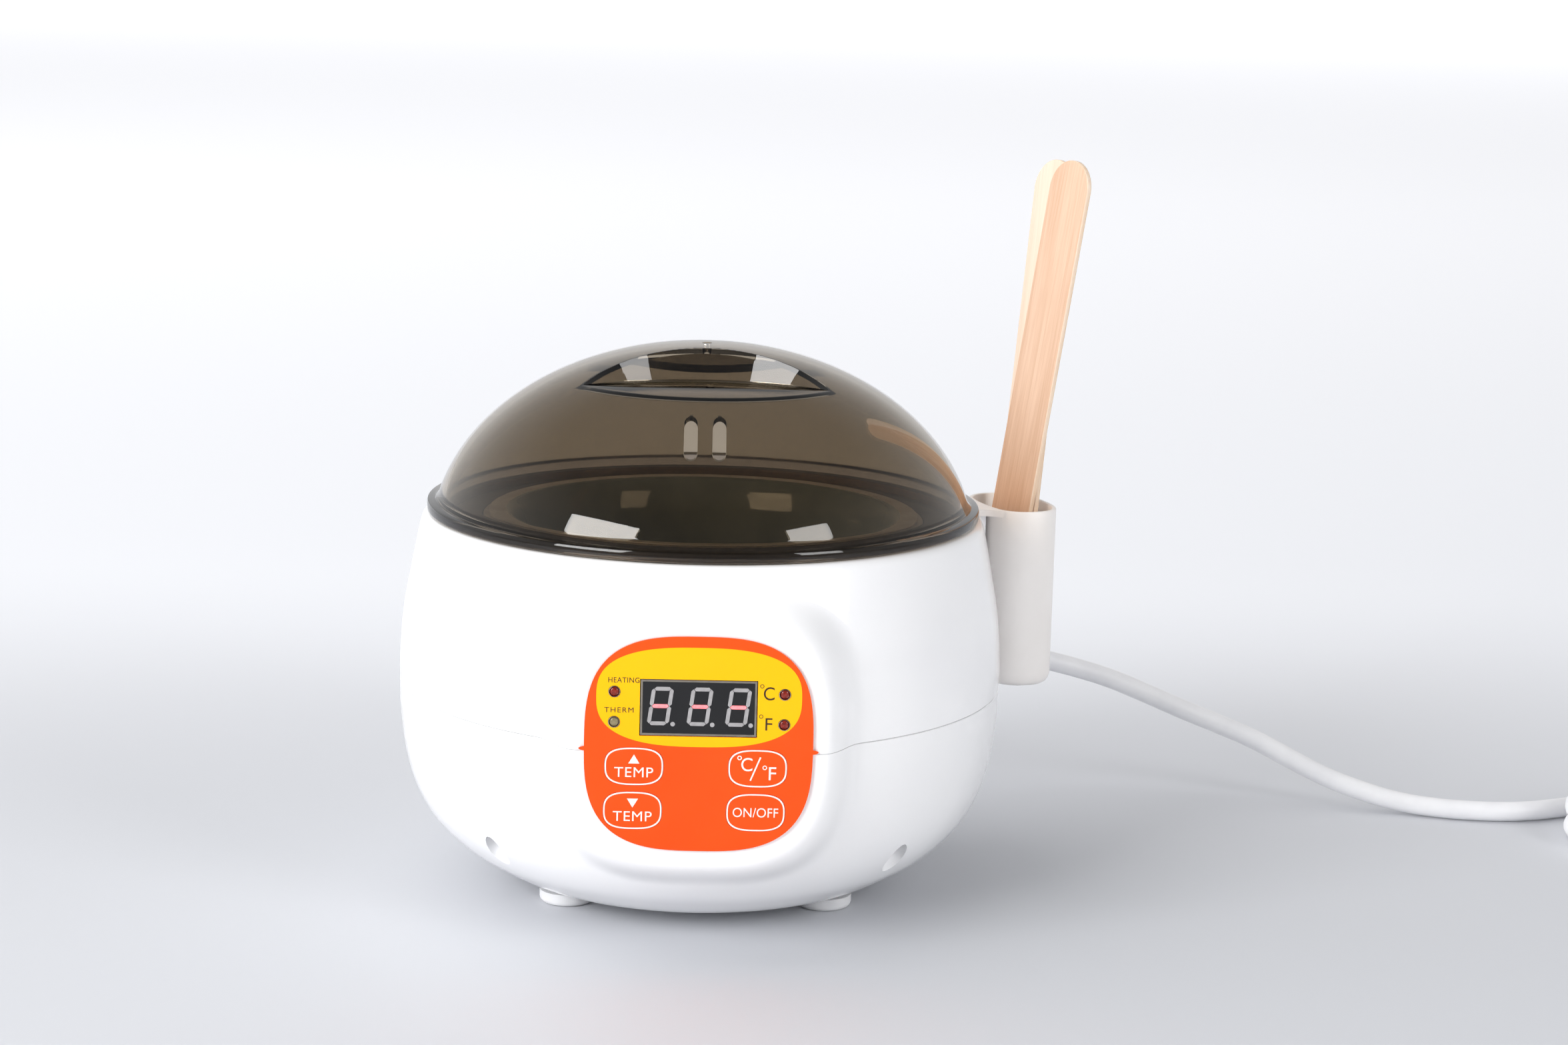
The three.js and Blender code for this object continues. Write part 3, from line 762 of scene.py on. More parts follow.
# Lamp bezels: bright tinned cup round each lamp.
LAMP_CUP = Moulded("tinned_lamp_cup", "#c9bfb4", "#a89d92", 0.22, 0.08, 0.4, 0.004, 1.5, metallic=1.0)
# Zinc-plated screws and plug pins: bright with slight rub marks.
PLATED_STEEL = Moulded("nickel_plated_steel", "#cfcfd0", "#b9babc", 0.22, 0.12, 0.6, 0.006, 4, metallic=1.0)
# Glass-fibre sleeve: matt woven yellow-white.
GLASS_FIBRE = Moulded("woven_glass_fibre", "#ded5ba", "#c7bd9f", 0.85, 0.05, 0.8, 0.12, 3)
# Black thermoplastic of relays and switches.
BLACK_PLASTIC = Moulded("black_thermoplastic", "#1e1e20", "#161618", 0.45, 0.1, 0.6, 0.012, 6)
# Dipped film capacitor.
CAPACITOR_SKIN = Moulded("dipped_epoxy", "#e0661f", "#c85516", 0.35, 0.1, 1.5, 0.02, 5)
# Green terminal block.
TERMINAL_GREEN = Moulded("polyamide_green", "#2f8f55", "#277a48", 0.4, 0.1, 0.8, 0.012, 5)
# Soft PVC of the lead: white, satin, faintly wavy along its length.
CORD_PVC = Moulded("soft_pvc_white", "#f4f4f6", "#ececef", 0.36, 0.06, 2.2, 0.03, 14, sheen=0.05)
# Moulded PVC of the plug and strain relief.
PLUG_PVC = Moulded("moulded_pvc_white", "#f3f3f4", "#e8e8ea", 0.4, 0.08, 1.0, 0.015, 10)
# Solder-masked board.
CIRCUIT_BOARD = Board("solder_mask_board", "#1f6b3c", "#3f9458")


class Store:
    """Keeps one material per finish."""

    shelf: dict[str, bpy.types.Material] = {}

    @classmethod
    def take(cls, finish: Finish) -> bpy.types.Material:
        """Returns the material of a finish, made on first use."""
        if finish.name not in cls.shelf:
            cls.shelf[finish.name] = finish.make()
        return cls.shelf[finish.name]


def dress(piece: bpy.types.Object, *finishes: Finish) -> None:
    """Gives a piece its finishes in place of what it had. Its faces wear the first until told otherwise.

    Args:
        piece: The piece.
        finishes: The finishes, in the order of its material slots.
    """
    piece.data.materials.clear()
    for finish in finishes:
        piece.data.materials.append(Store.take(finish))


def hand_over(piece: bpy.types.Object, body: str, slot: str, finish: Finish | None, *nodes: str) -> None:
    """Dresses a finished piece, hangs it on its body and hides the CAD nodes that it stands for.

    Args:
        piece: The piece.
        body: The body that it moves with.
        slot: Not used.
        finish: Its finish, or None where its faces are dressed already.
        nodes: The CAD nodes that it stands for.
    """
    if finish is not None:
        dress(piece, finish)
    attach(piece, body)
    if nodes:
        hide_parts(*nodes)
    LOG.info("%s: %d faces on %s", piece.name, len(piece.data.polygons), body)


# ---------------------------------------------------------------- studio


@dataclass
class Studio:
    """Camera, floor and soft lamps."""

    lens: float = 71.96
    camera_reach: float = 900.0
    camera_height: float = 279.4
    pitch: float = 10.87
    yaw: float = 1.5
    roll: float = 1.5
    lamp_reach: float = 1250.0

    def set_camera(self) -> None:
        """Places the camera at table height in front of the panel."""
        pitch, yaw, roll = (math.radians(a) for a in (self.pitch, self.yaw, self.roll))
        ahead = math.cos(pitch)
        forward = Vector((math.sin(yaw) * ahead, math.cos(yaw) * ahead, -math.sin(pitch)))
        level = Vector((math.cos(yaw), -math.sin(yaw), 0))
        rise = level.cross(forward)
        right = level * math.cos(roll) + rise * math.sin(roll)
        up = rise * math.cos(roll) - level * math.sin(roll)
        data = bpy.data.cameras.new("camera")
        data.lens = self.lens
        data.clip_start = 0.01
        data.clip_end = 60
        camera = bpy.data.objects.new("camera", data)
        camera.matrix_world = Matrix.Translation(
            spot(0, -self.camera_reach, self.camera_height)
        ) @ Matrix((right, up, -forward)).transposed().to_4x4()
        bpy.context.collection.objects.link(camera)
        bpy.context.scene.camera = camera

    def lay_floor(self) -> None:
        """Lays the pale floor, which runs out to the far distance, with painted shade near the object and a
        painted glow that grows far off.
        """
        bpy.ops.object.select_all(action="DESELECT")
        bpy.ops.mesh.primitive_circle_add(vertices=96, radius=16, fill_type="NGON", location=(0, 0, 0))
        floor = named(bpy.context.object, "floor")
        start_editing(floor)
        bpy.ops.mesh.inset(thickness=12)
        stop_editing()
        material, tree = fresh_material("studio_floor")
        place = add_node(tree, "ShaderNodeTexCoord").outputs["Object"]
        away = add_node(tree, "ShaderNodeSeparateXYZ", links={0: place}).outputs["Y"]
        # Painted shade: the floor's colour runs from darker near the object to paler far off.
        far = ramp_of(tree, away, (-0.6, 2.6), (0.0, 1.0), "SMOOTHSTEP")
        # Painted glow: the floor shines a little by itself behind the object and more far off, standing in for
        # light on the sweep.
        near_painted_glow = ramp_of(tree, away, (0.0, 0.44), (0.0, 0.29), "SMOOTHSTEP")
        far_painted_glow = ramp_of(tree, away, (0.5, 7.0), (0.0, 0.42))
        painted_glow_strength = add_node(
            tree, "ShaderNodeMath", {"operation": "ADD"}, {0: near_painted_glow, 1: far_painted_glow}
        ).outputs["Value"]
        shader = add_node(
            tree, "ShaderNodeBsdfPrincipled",
            {"Roughness": 0.55, "IOR": 1.4, "Emission Color": linear("#fafbff")},
            {"Base Color": blend_of(tree, far, "#cbcdd2", "#f7f7fa", 0.0, 1.0), "Emission Strength": painted_glow_strength},
        )
        add_node(tree, "ShaderNodeOutputMaterial", links={"Surface": shader.outputs["BSDF"]})
        floor.data.materials.append(material)

    def hang_lamps(self) -> None:
        """Hangs two soft boxes in front, low enough to show in the lid, a broad one above, and a card."""
        # Name, azimuth from the panel in degrees, middle height, width and height in mm, and watts.
        lamps = (
            ("soft_box_left", -46, 560, 700, 620, 15.0),
            ("soft_box_right", 48, 540, 420, 580, 5.5),
        )
        for name, azimuth, height, width, tall, power in lamps:
            angle = math.radians(azimuth)
            place = (self.lamp_reach * math.sin(angle), -self.lamp_reach * math.cos(angle), height)
            self.hang(name, place, (0, 0, 60), (width * MM, tall * MM), power, True)
        self.hang("overhead", (-1100, 900, 2400), (0, 1100, 0), (3.4, 3.0), 44.0, False)
        # A white card on the floor in front throws light up under the shell's belly.
        self.hang("bounce_card", (0, -430, 4), (0, -430, 900), (1.1, 0.56), 1.2, False)

    def hang(
        self, name: str, place: tuple[float, float, float], aim: tuple[float, float, float],
        size: tuple[float, float], power: float, in_gloss: bool,
    ) -> None:
        """Hangs one soft box.

        Args:
            name: The lamp's name.
            place: Where it hangs, in millimetres off the axis.
            aim: What it points at, in millimetres off the axis.
            size: Its width and height in metres.
            power: Its power in watts.
            in_gloss: Whether glossy surfaces mirror it.
        """
        data = bpy.data.lights.new(name, "AREA")
        data.shape = "RECTANGLE"
        data.size, data.size_y = size
        data.energy = power
        lamp = bpy.data.objects.new(name, data)
        lamp.location = spot(*place)
        lamp.rotation_euler = (spot(*aim) - lamp.location).to_track_quat("-Z", "Y").to_euler()
        lamp.visible_camera = False
        lamp.visible_glossy = in_gloss
        lamp.visible_transmission = in_gloss
        bpy.context.collection.objects.link(lamp)

    def light_room(self) -> None:
        """Lights the room from low all round, dimmer in front of the panel and overhead."""
        world = bpy.data.worlds.new("studio")
        world.use_nodes = True
        bpy.context.scene.world = world
        tree = world.node_tree
        tree.nodes.clear()
        place = add_node(tree, "ShaderNodeTexCoord").outputs["Generated"]
        ways = add_node(tree, "ShaderNodeSeparateXYZ", links={0: place})
        shade = ramp_of(tree, ways.outputs["Y"], (-0.95, 0.1), (0.3, 1.0))
        for factor in (
            ramp_of(tree, ways.outputs["Z"], (0.2, 0.75), (0.95, 0.3)),
            ramp_of(tree, ways.outputs["X"], (-0.8, 0.8), (1.0, 0.74)),
        ):
            shade = add_node(
                tree, "ShaderNodeMath", {"operation": "MULTIPLY"}, {0: shade, 1: factor}
            ).outputs["Value"]
        glow = add_node(
            tree, "ShaderNodeBackground", {"Color": (0.98, 0.985, 1.0, 1.0)}, {"Strength": shade}
        ).outputs["Background"]
        add_node(tree, "ShaderNodeOutputWorld", links={"Surface": glow})
        bpy.context.scene.view_settings.view_transform = "Standard"

    def build(self) -> None:
        """Sets up the studio."""
        self.set_camera()
        self.lay_floor()
        self.hang_lamps()
        self.light_room()


# ---------------------------------------------------------------- mains lead


@dataclass
class MainsLead:
    """The white lead: strain relief, cord with its coil, and a two-pin plug."""

    radius: float = 3.1
    exit_azimuth: float = 40.0
    exit_z: float = 52.0
    wall: float = 87.6
    relief: float = 24.0
    ribs: int = 5
    coil_x: float = 312.0
    coil_y: float = 47.3
    outer_turn: float = 34.2
    inner_turn: float = 28.0
    low_z: float = 3.3
    high_z: float = 9.5
    plug_x: float = 346.2
    plug_y: float = 12.0
    plug_z: float = 6.8
    length: float = 0.92

    def route(self) -> list[tuple[float, float, float]]:
        """Returns the lead's way from the strain relief down to the floor and up to its coil."""
        knots = [
            (85.8, 72, 52), (98, 81.5, 50.4), (112, 88, 46.1), (133, 91, 39.8), (157, 90, 30.2),
            (181, 88, 20.9), (204, 82, 10.4), (227, 76, 4.2), (249, 70, 3.3), (268, 70.8, 3.3),
            (284.3, 77.2, 3.3), (298, 80.6, 3.3),
        ]
        return through(knots, 2)

    def coil(self) -> list[tuple[float, float, float]]:
        """Winds the coil: two turns on the floor, then back outwards on top of them.

        Returns:
            The coil's points, in millimetres off the axis.
        """
        # Turn angle in degrees since the coil begins, with radius and height there.
        stages = (
            (0, self.outer_turn, self.low_z), (285, self.outer_turn, self.low_z),
            (345, self.inner_turn, self.low_z), (625, self.inner_turn, self.low_z),
            (700, self.inner_turn, self.high_z), (925, self.inner_turn, self.high_z),
            (985, self.outer_turn, self.high_z), (1170, self.outer_turn, self.high_z),
        )
        points = []
        for turn in range(0, 1170, 18):
            for (a, r1, z1), (b, r2, z2) in zip(stages, stages[1:]):
                if a <= turn <= b:
                    t = (turn - a) / (b - a)
                    t = t * t * (3 - 2 * t)
                    break
            radius, z = r1 + (r2 - r1) * t, z1 + (z2 - z1) * t
            angle = math.radians(90 - turn)
            x, y = radius * math.cos(angle), radius * math.sin(angle)
            points.append((self.coil_x + x, self.coil_y + y, z))
        return points

    def make_cord(self) -> None:
        """Lays the cord as one round line from the relief to the plug.
        """
        tail = [
            (self.plug_x, 44.0, 9.5), (self.plug_x, 36.0, 9.2), (self.plug_x, 25.3, 7.8),
            (self.plug_x, 18.0, 7.1), (self.plug_x, self.plug_y + 0.3, 6.9),
        ]
        points = [spot(*p) for p in (*self.route(), *self.coil(), *tail)]
        data = bpy.data.curves.new("mains_lead", "CURVE")
        data.dimensions = "3D"
        data.bevel_depth = self.radius * MM
        data.bevel_resolution = 6
        data.resolution_u = 5
        data.use_fill_caps = True
        spline = data.splines.new("BEZIER")
        spline.bezier_points.add(len(points) - 1)
        for knot, point in zip(spline.bezier_points, points):
            knot.co = point
            knot.handle_left_type = knot.handle_right_type = "AUTO"
        lead = bpy.data.objects.new("mains_lead", data)
        bpy.context.collection.objects.link(lead)
        data.materials.append(Store.take(CORD_PVC))
        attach(lead, "housing")
        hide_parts("mains_cord", "cord_coil", "cord_tail")
        LOG.info("mains_lead: %d points", len(points))

    def make_relief(self) -> None:
        """Turns the tapered strain relief with its soft ribs and sets it into the wall."""
        w = self.wall
        line = [(0, w - 5.4), (6.6, w - 5.4), (6.6, w - 4), (4.9, w - 4), (4.9, w + 0.6), (6.4, w + 0.6)]
        line += [(6.7, w + 1.0), (6.7, w + 2.6), (6.2, w + 3.2), (5.5, w + 3.8)]
        for i in range(self.ribs):
            start = w + 5.0 + i * 3.5
            thick = 5.4 - 0.2 * i
            groove = thick - 0.75
            line += [(thick, start), (thick, start + 1.9), (groove, start + 2.3), (groove, start + 3.1)]
        end = w + self.relief
        line += [(4.3, end - 0.8), (4.0, end - 0.1), (3.3, end), (0, end)]
        piece = turned("cord_relief", line, 56)
        aim = Matrix.Rotation(math.radians(self.exit_azimuth), 4, "Z") @ Matrix.Rotation(math.pi / 2, 4, "Y")
        place = Matrix.Translation(spot(0, 0, self.exit_z))
        piece.data.transform(place @ aim @ Matrix.Translation(-AXIS))
        smooth(piece, 50)
        hand_over(piece, "housing", "cord_pvc", PLUG_PVC, "strain_relief")

    def make_plug(self) -> list[bpy.types.Object]:
        """Moulds the plug's tapered body with finger ribs, and gathers its pins.

        Returns:
            The plug's body and the two pins.
        """
        half_x, half_z, length, tail = 13.5, 6.7, 38.0, 4.4
        plug = round_blank("mains_plug_body", 64)
        for vertex in plug.data.vertices:
            angle = math.atan2(vertex.co.y, vertex.co.x)
            x, z = rounded_square(tail, tail, 2.2, angle)
            vertex.co = spot(self.plug_x + x, self.plug_y, self.plug_z + z)
        # Each ring of the body: how far along it lies, and its half width and half height.
        rings = [
            (1.0, 5.0, 4.9), (5.0, 6.6, 5.2), (10.0, 9.4, 5.7), (16.0, 11.8, 6.2), (22.0, 13.1, 6.5),
            (24.0, 12.6, 6.1), (26.0, 13.3, 6.6), (28.0, 12.8, 6.2), (30.0, 13.4, half_z),
            (length - 1.0, half_x, half_z), (length, half_x - 1.0, half_z - 1.0),
        ]
        start_editing(plug)
        last = (0.0, tail, tail)
        for step, wide, tall in rings:
            back = (last[0] - step) * MM
            bpy.ops.mesh.extrude_region_move(TRANSFORM_OT_translate={"value": (0, back, 0)})
            centre = spot(self.plug_x, self.plug_y - step, self.plug_z)
            bpy.ops.transform.resize(value=(wide / last[1], 1, tall / last[2]), center_override=centre)
            last = (step, wide, tall)
        stop_editing()
        tidy_skin(plug)
        smooth(plug, 50)
        hand_over(plug, "housing", "cord_pvc", PLUG_PVC, "mains_plug")
        pins = [bpy.data.objects["plug_pin_1"], bpy.data.objects["plug_pin_2"]]
        return [plug, *pins]

    def build(self) -> None:
        """Builds the lead."""
        pieces = self.make_plug()
        self.make_cord()
        self.make_relief()


# ---------------------------------------------------------------- housing


@dataclass
class Housing:
    """The two white shells with the control boss, the screw wells, and the feet."""

    wall: float = 2.3
    seam: float = 60.5
    seam_gap: float = 0.14
    steps: int = 360
    face: float = 88.6
    boss_z: float = 62.8
    boss_half: float = 34.0
    screw_circle: float = 78.5
    widest: float = 87.9
    inner_widest: float = 85.6
    post: float = 4.0
    well_mouth: float = 3.4
    well: float = 2.6
    shank: float = 1.7
    stem_hole: float = 3.2
    lamp_hole: float = 1.85
    lead_hole: float = 5.3
    lead_azimuth: float = 40.0
    lead_z: float = 52.0

    outer_side = (
        (51, 4), (57.5, 5.6), (65.4, 10), (72.5, 15), (79, 22), (83.4, 30), (86.2, 40), (87.7, 52),
        (87.9, 60.5), (87.9, 68), (86.9, 81), (84.6, 94), (82.4, 105),
    )
    inner_side = (
        (50.4, 6.3), (57, 7.9), (64, 12), (70.8, 16.9), (76.8, 23.2), (81.2, 31.2), (83.9, 41),
        (85.4, 52.2), (85.6, 60.5), (85.6, 68), (84.6, 80.8), (82.4, 93.2), (81, 100),
    )

    def half_profile(self, upper: bool) -> list[tuple[float, float]]:
        """Draws one shell's closed cross-section.

        Args:
            upper: Whether it is the shell above the seam.

        Returns:
            Radius and height of each point, in millimetres.
        """
        outer = through(list(self.outer_side), 9)
        inner = through(list(self.inner_side), 4)
        edge = self.seam + (self.seam_gap / 2 if upper else -self.seam_gap / 2)
        radius = self.widest
        lip = (radius - 0.16, edge)
        if not upper:
            out = [(0, 4), *[p for p in outer if p[1] < edge - 0.8], (radius, edge - 0.2), lip]
            back = [p for p in inner if p[1] < edge - 1.0]
            return [*out, (self.inner_widest, edge), *back[::-1], (0, 6.3)]
        out = [lip, (radius, edge + 0.2), *[p for p in outer if p[1] > edge + 0.8]]
        rim = [
            (82.1, 106.3), (81.75, 107.5), (81.3, 108.4), (80.75, 109.1), (80.0, 109.55), (79.2, 109.7),
            (78.3, 109.55), (77.75, 109.1), (77.6, 108.4), (77.6, 103.4), (77.4, 103.3), (69.3, 103.3),
            (69, 103.0), (69, 101.3), (69.3, 101), (80.7, 101), (81, 100.2),
        ]
        back = [p for p in inner if edge + 1.0 < p[1] < 99.5]
        return [*out, *rim, *back[::-1], (self.inner_widest, edge), lip]

    def boss_drop(self, x: float, z: float, inset: float) -> tuple[float, float]:
        """Finds the boss's front at a place on the panel.

        Args:
            x: Millimetres across from the panel's middle.
            z: Millimetres above the floor.
            inset: How far inside the outer skin.

        Returns:
            How far in front of the axis the boss lies there, and how far outside its flat face the place is.
        """
        half = self.boss_half - inset
        reach = (abs(x / half) ** 3 + abs((z - self.boss_z) / half) ** 3) ** (1 / 3)
        outside = (reach - 1) * half
        bend = max(0.0, outside + 1.2)
        return self.face - inset - bend * bend / 6.6, outside

    def press_boss(self, shell: bpy.types.Object) -> None:
        """Presses the control boss out of the shell's front, with a soft edge and a soft foot.

        A height over the panel's plane is the one way to get an even fillet where the boss meets the round
        side, so the skin's points are moved here in code.

        Args:
            shell: The turned shell, which is reshaped.
        """
        sides = through(list(self.outer_side), 9)
        for vertex in shell.data.vertices:
            place = (vertex.co - AXIS) / MM
            if place.y > -60 or not 12 < place.z < 104 or abs(place.x) > 52:
                continue
            radius = math.hypot(place.x, place.y)
            outer = next((r for r, z in reversed(sides) if z <= place.z), self.widest)
            depth = outer - radius
            if depth > 4.5:
                continue
            inset = self.wall if depth > 1.0 else 0.0
            front, outside = self.boss_drop(place.x, place.z, inset)
            side = -place.y
            foot = 5.0 * min(1.0, max(0.0, outside / 3.5))
            near = max(foot - abs(front - side), 0.0) / foot if foot else 0.0
            vertex.co.y = AXIS.y - (max(front, side) + near * near * foot / 4) * MM

    def display_openings(self) -> list[bpy.types.Object]:
        """Returns the tools that cut the upper shell's openings, for the display and the lamps."""
        tools = [slab("tool", (-15.9, -93, 65), (15.5, -80, 80.6))]
        for side in SIDES:
            for z in (77, 68.7):
                start, end = spot(22.7 * side, -93, z), spot(22.7 * side, -80, z)
                tools.append(drilled("tool", self.lamp_hole, start, end))
        return tools

    def stem_openings(self) -> list[bpy.types.Object]:
        """Returns the tools that cut the lower shell's openings, for the keys' stems."""
        return [
            drilled("tool", self.stem_hole, spot(x, -93, z), spot(x, -80, z))
            for x in (-17.2, 16.3) for z in (56.5, 44.1)
        ]

    def make_upper(self) -> None:
        """Makes the upper shell."""
        shell = turned("upper_shell", self.half_profile(True), self.steps)
        self.press_boss(shell)
        for tool in self.display_openings():
            carve(shell, tool, Cut.TAKE_AWAY)
        for x, y in self.screw_places():
            carve(shell, drilled("post", self.post, spot(x, y, 50.3), spot(x, y, 102)), Cut.JOIN)
        smooth(shell, 32)
        hand_over(shell, "housing", "white_abs", WHITE_ABS, "upper_housing")

    def screw_places(self) -> list[tuple[float, float]]:
        """Returns where the four housing screws stand."""
        angles = [math.radians(a) for a in (45, 135, 225, 315)]
        return [(self.screw_circle * math.cos(a), self.screw_circle * math.sin(a)) for a in angles]

    def make_lower(self) -> None:
        """Makes the lower shell with its screw posts and wells and the lead's opening."""
        shell = turned("lower_shell", self.half_profile(False), self.steps)
        self.press_boss(shell)
        for tool in self.stem_openings():
            carve(shell, tool, Cut.TAKE_AWAY)
        for x, y in self.screw_places():
            post = drilled("post", self.post, spot(x, y, 8), spot(x, y, 50))
            body = turned("body", [(0, 4.5), (50.8, 4.5), *self.outer_side[1:9], (0, 60)], 180)
            carve(post, body, Cut.KEEP_SHARED)
            carve(shell, post, Cut.JOIN)
            for radius, low, high in ((self.well_mouth, 0, 32), (self.well, 30, 44), (self.shank, 43, 51)):
                carve(shell, drilled("tool", radius, spot(x, y, low), spot(x, y, high)), Cut.TAKE_AWAY)
        azimuth = math.radians(self.lead_azimuth)
        way = Vector((math.cos(azimuth), math.sin(azimuth), 0)) * MM
        middle = spot(0, 0, self.lead_z)
        carve(shell, drilled("tool", self.lead_hole, middle + way * 80, middle + way * 95), Cut.TAKE_AWAY)
        smooth(shell, 32)
        hand_over(shell, "housing", "white_abs", WHITE_ABS, "lower_housing")

    def make_feet(self) -> None:
        """Turns one round foot and copies it to the other three places."""
        foot = turned("foot", [
            (0, 0), (6.6, 0), (7.3, 0.25), (7.8, 0.8), (8, 1.5), (8, 3.7), (2.4, 3.7), (2.4, 8.6), (0, 8.6),
        ], 64)
        smooth(foot, 50)
        places = {
            "foot_front_left": (-37, -30), "foot_front_right": (37, -30),
            "foot_rear_left": (-37, 30), "foot_rear_right": (37, 30),
        }
        for node, (x, y) in places.items():
            piece = copied(foot, f"{node}_pad")
            piece.data.transform(Matrix.Translation(Vector((x, y, 0)) * MM))
            hand_over(piece, "housing", "white_abs", WHITE_MATT, node)
        bpy.data.objects.remove(foot)

    def build(self) -> None:
        """Builds the housing."""
        self.make_upper()
        self.make_lower()
        self.make_feet()


# ---------------------------------------------------------------- heater and pot


class Heater:
    """The dark collar, the heating well and the lift-out pot."""

    def make_collar(self) -> None:
        """Turns the heat-proof collar round the well's mouth."""
        collar = turned("collar_ring", ring([
            (65.3, 103.6), (74.6, 103.6), (74.6, 106.6), (74.3, 107.4), (73.6, 107.9), (70, 108.2),
            (65, 108.4), (64.4, 108.3), (64.3, 108), (64.3, 106.3), (65.3, 105.8),
        ]))
        smooth(collar, 40)
        hand_over(collar, "housing", "dark_collar", DARK_COLLAR, "heat_collar")

    def make_well(self) -> None:
        """Turns the aluminium heating well."""
        well = turned("well_shell", [
            (0, 41.9), (50.5, 41.9), (53.2, 42.7), (54.7, 45.2), (57.9, 106), (58.9, 107.1), (64, 107.1),
            (64, 108.4), (57.6, 108.4), (56.9, 107.9), (56.5, 106.8), (53.4, 46.2), (52.6, 44.3), (51, 43.2),
            (0, 43.2),
        ])
        smooth(well, 40)
        hand_over(well, "housing", "aluminium", SPUN_ALUMINIUM, "heating_well")

    def make_pot(self) -> None:
        """Turns the non-stick pot with its rolled aluminium flange."""
        pot = turned("wax_pot", [
            (0, 45), (46.5, 45), (49.6, 45.8), (51.3, 48.4), (53.7, 97.5), (54.2, 102), (55, 105.8),
            (55.9, 107.9), (57.2, 108.8), (62, 108.8), (62.4, 109), (62.5, 109.4), (62.4, 109.8), (62, 110),
            (57.4, 110), (56.6, 109.85), (55.9, 109.4), (55.2, 108.6), (54.5, 107.3), (53.9, 105.8),
            (53.4, 104.2), (52.95, 102.2), (52.6, 100), (52.4, 97.5), (50.5, 50.6), (49.6, 48), (47.2, 46.4),
            (0, 46.2),
        ])
        smooth(pot, 40)
        dress(pot, NON_STICK, SPUN_ALUMINIUM)
        for face in pot.data.polygons:
            middle = face.center - AXIS
            outside = face.normal.x * middle.x + face.normal.y * middle.y > 0
            flange = math.hypot(middle.x, middle.y) > 57.3 * MM
            face.material_index = int(flange or (outside and middle.z < 0.109) or middle.z < 0.0455)
        hand_over(pot, "inner_pot", "non_stick", None, "inner_pot")

    def build(self) -> None:
        """Builds the heater and the pot."""
        self.make_collar()
        self.make_well()
        self.make_pot()


# ---------------------------------------------------------------- lid


@dataclass
class Lid:
    """The smoked dome: two finger scoops that leave a rib, two steam slots and a vent hole."""

    radius: float = 79.1
    height: float = 58.0
    centre: float = 101.0
    wall: float = 2.0
    scoop_radius: float = 45.4
    scoop_y: float = 54.9
    scoop_floor: float = 149.6
    slot_width: float = 3.8
    slot_low: float = 135.1
    slot_high: float = 144.3
    steps: int = 288

    def side(self, inset: float, low: float, count: int) -> list[tuple[float, float]]:
        """Draws the dome's profile from a height up to its top.

        Args:
            inset: How far inside the outer skin, in millimetres.
            low: The height where it starts.
            count: How many steps lead up to the top.

        Returns:
            Radius and height of each point, in millimetres.
        """
        radius, height = self.radius - inset, self.height - inset
        start = math.asin((low - self.centre) / height)
        angles = [start + (math.pi / 2 - start) * i / count for i in range(count)]
        line = [(radius * math.cos(a), self.centre + height * math.sin(a)) for a in angles]
        return [*line, (0, self.centre + height)]

    def scoops(self, solid: bpy.types.Object, grow: float) -> None:
        """Takes the two finger scoops out of a solid.

        Args:
            solid: The dome or its hollow.
            grow: How much larger the scoops are cut, in millimetres.
        """
        for side in SIDES:
            y = side * self.scoop_y
            tool = drilled(
                "tool", self.scoop_radius + grow, spot(0, y, self.scoop_floor - grow), spot(0, y, 175), 256
            )
            carve(solid, tool, Cut.TAKE_AWAY)

    def steam_slots(self, lid: bpy.types.Object) -> None:
        """Cuts the two round-ended slots through the front.

        Args:
            lid: The dome.
        """
        half = self.slot_width / 2
        middle = (self.slot_low + self.slot_high) / 2
        reach = (self.slot_high - self.slot_low) / 2 - half
        for side in SIDES:
            shape = Outline(side * 3.9, middle, half, half, 2.0, 32)
            tool = shape.blank("tool", -75, 35)
            for vertex in tool.data.vertices:
                above = vertex.co.z > (middle + 0.001) * MM
                vertex.co.z += (reach if above else -reach) * MM
            carve(lid, tool, Cut.TAKE_AWAY)

    def build(self) -> None:
        """Builds the lid."""
        dome = turned("smoked_lid", [
            (0, 106.6), (75.3, 106.6), (76.6, 106.6), (77, 107), (77, 109.8), (77.2, 110), (79.7, 110),
            (80.2, 110.25), (80.3, 110.7), (80.3, 112.3), (80.1, 112.8), (79.6, 113), (78.6, 113.05),
            (78.0, 113.25), (77.55, 113.8), *self.side(0, 114.8, 70),
        ], self.steps)
        self.scoops(dome, 0)
        soften(dome, 0.5, 2, 50)
        hollow = turned("hollow", [
            (0, 105), (75.2, 105), (75.2, 112.6), *self.side(self.wall, 113.4, 60),
        ], self.steps)
        self.scoops(hollow, self.wall)
        carve(dome, hollow, Cut.TAKE_AWAY)
        carve(dome, drilled("tool", 1.4, spot(0, 0, 150), spot(0, 0, 165), 32), Cut.TAKE_AWAY)
        self.steam_slots(dome)
        smooth(dome, 32)
        dress(dome, SMOKED_DOME, SMOKED_EDGE)
        for face in dome.data.polygons:
            face.material_index = int(self.looks_dark((face.center - AXIS) / MM, face.normal))
        hand_over(dome, "lid", "smoked_lid", None, "lid", "lid_crown")

    def looks_dark(self, place: Vector, normal: Vector) -> bool:
        """Tells whether a face is on the flange or on a cut edge, where light travels far through the plastic.

        Args:
            place: The face's middle in millimetres off the axis.
            normal: The face's normal.

        Returns:
            Whether the face looks dark.
        """
        outward = Vector((place.x, place.y, 0)).normalized()
        slot = 1.5 < abs(place.x) < 6.2 and self.slot_low - 0.3 < place.z < self.slot_high + 0.3
        slot_wall = slot and place.y < -20 and abs(normal.dot(outward)) < 0.35 and normal.z < 0.6
        past = math.hypot(place.x, abs(place.y) - self.scoop_y) - self.scoop_radius
        scoop_edge = 0.04 < past < 0.9 and place.z > self.scoop_floor + 0.2
        return place.z < 113.3 or slot_wall or scoop_edge


# ---------------------------------------------------------------- control panel


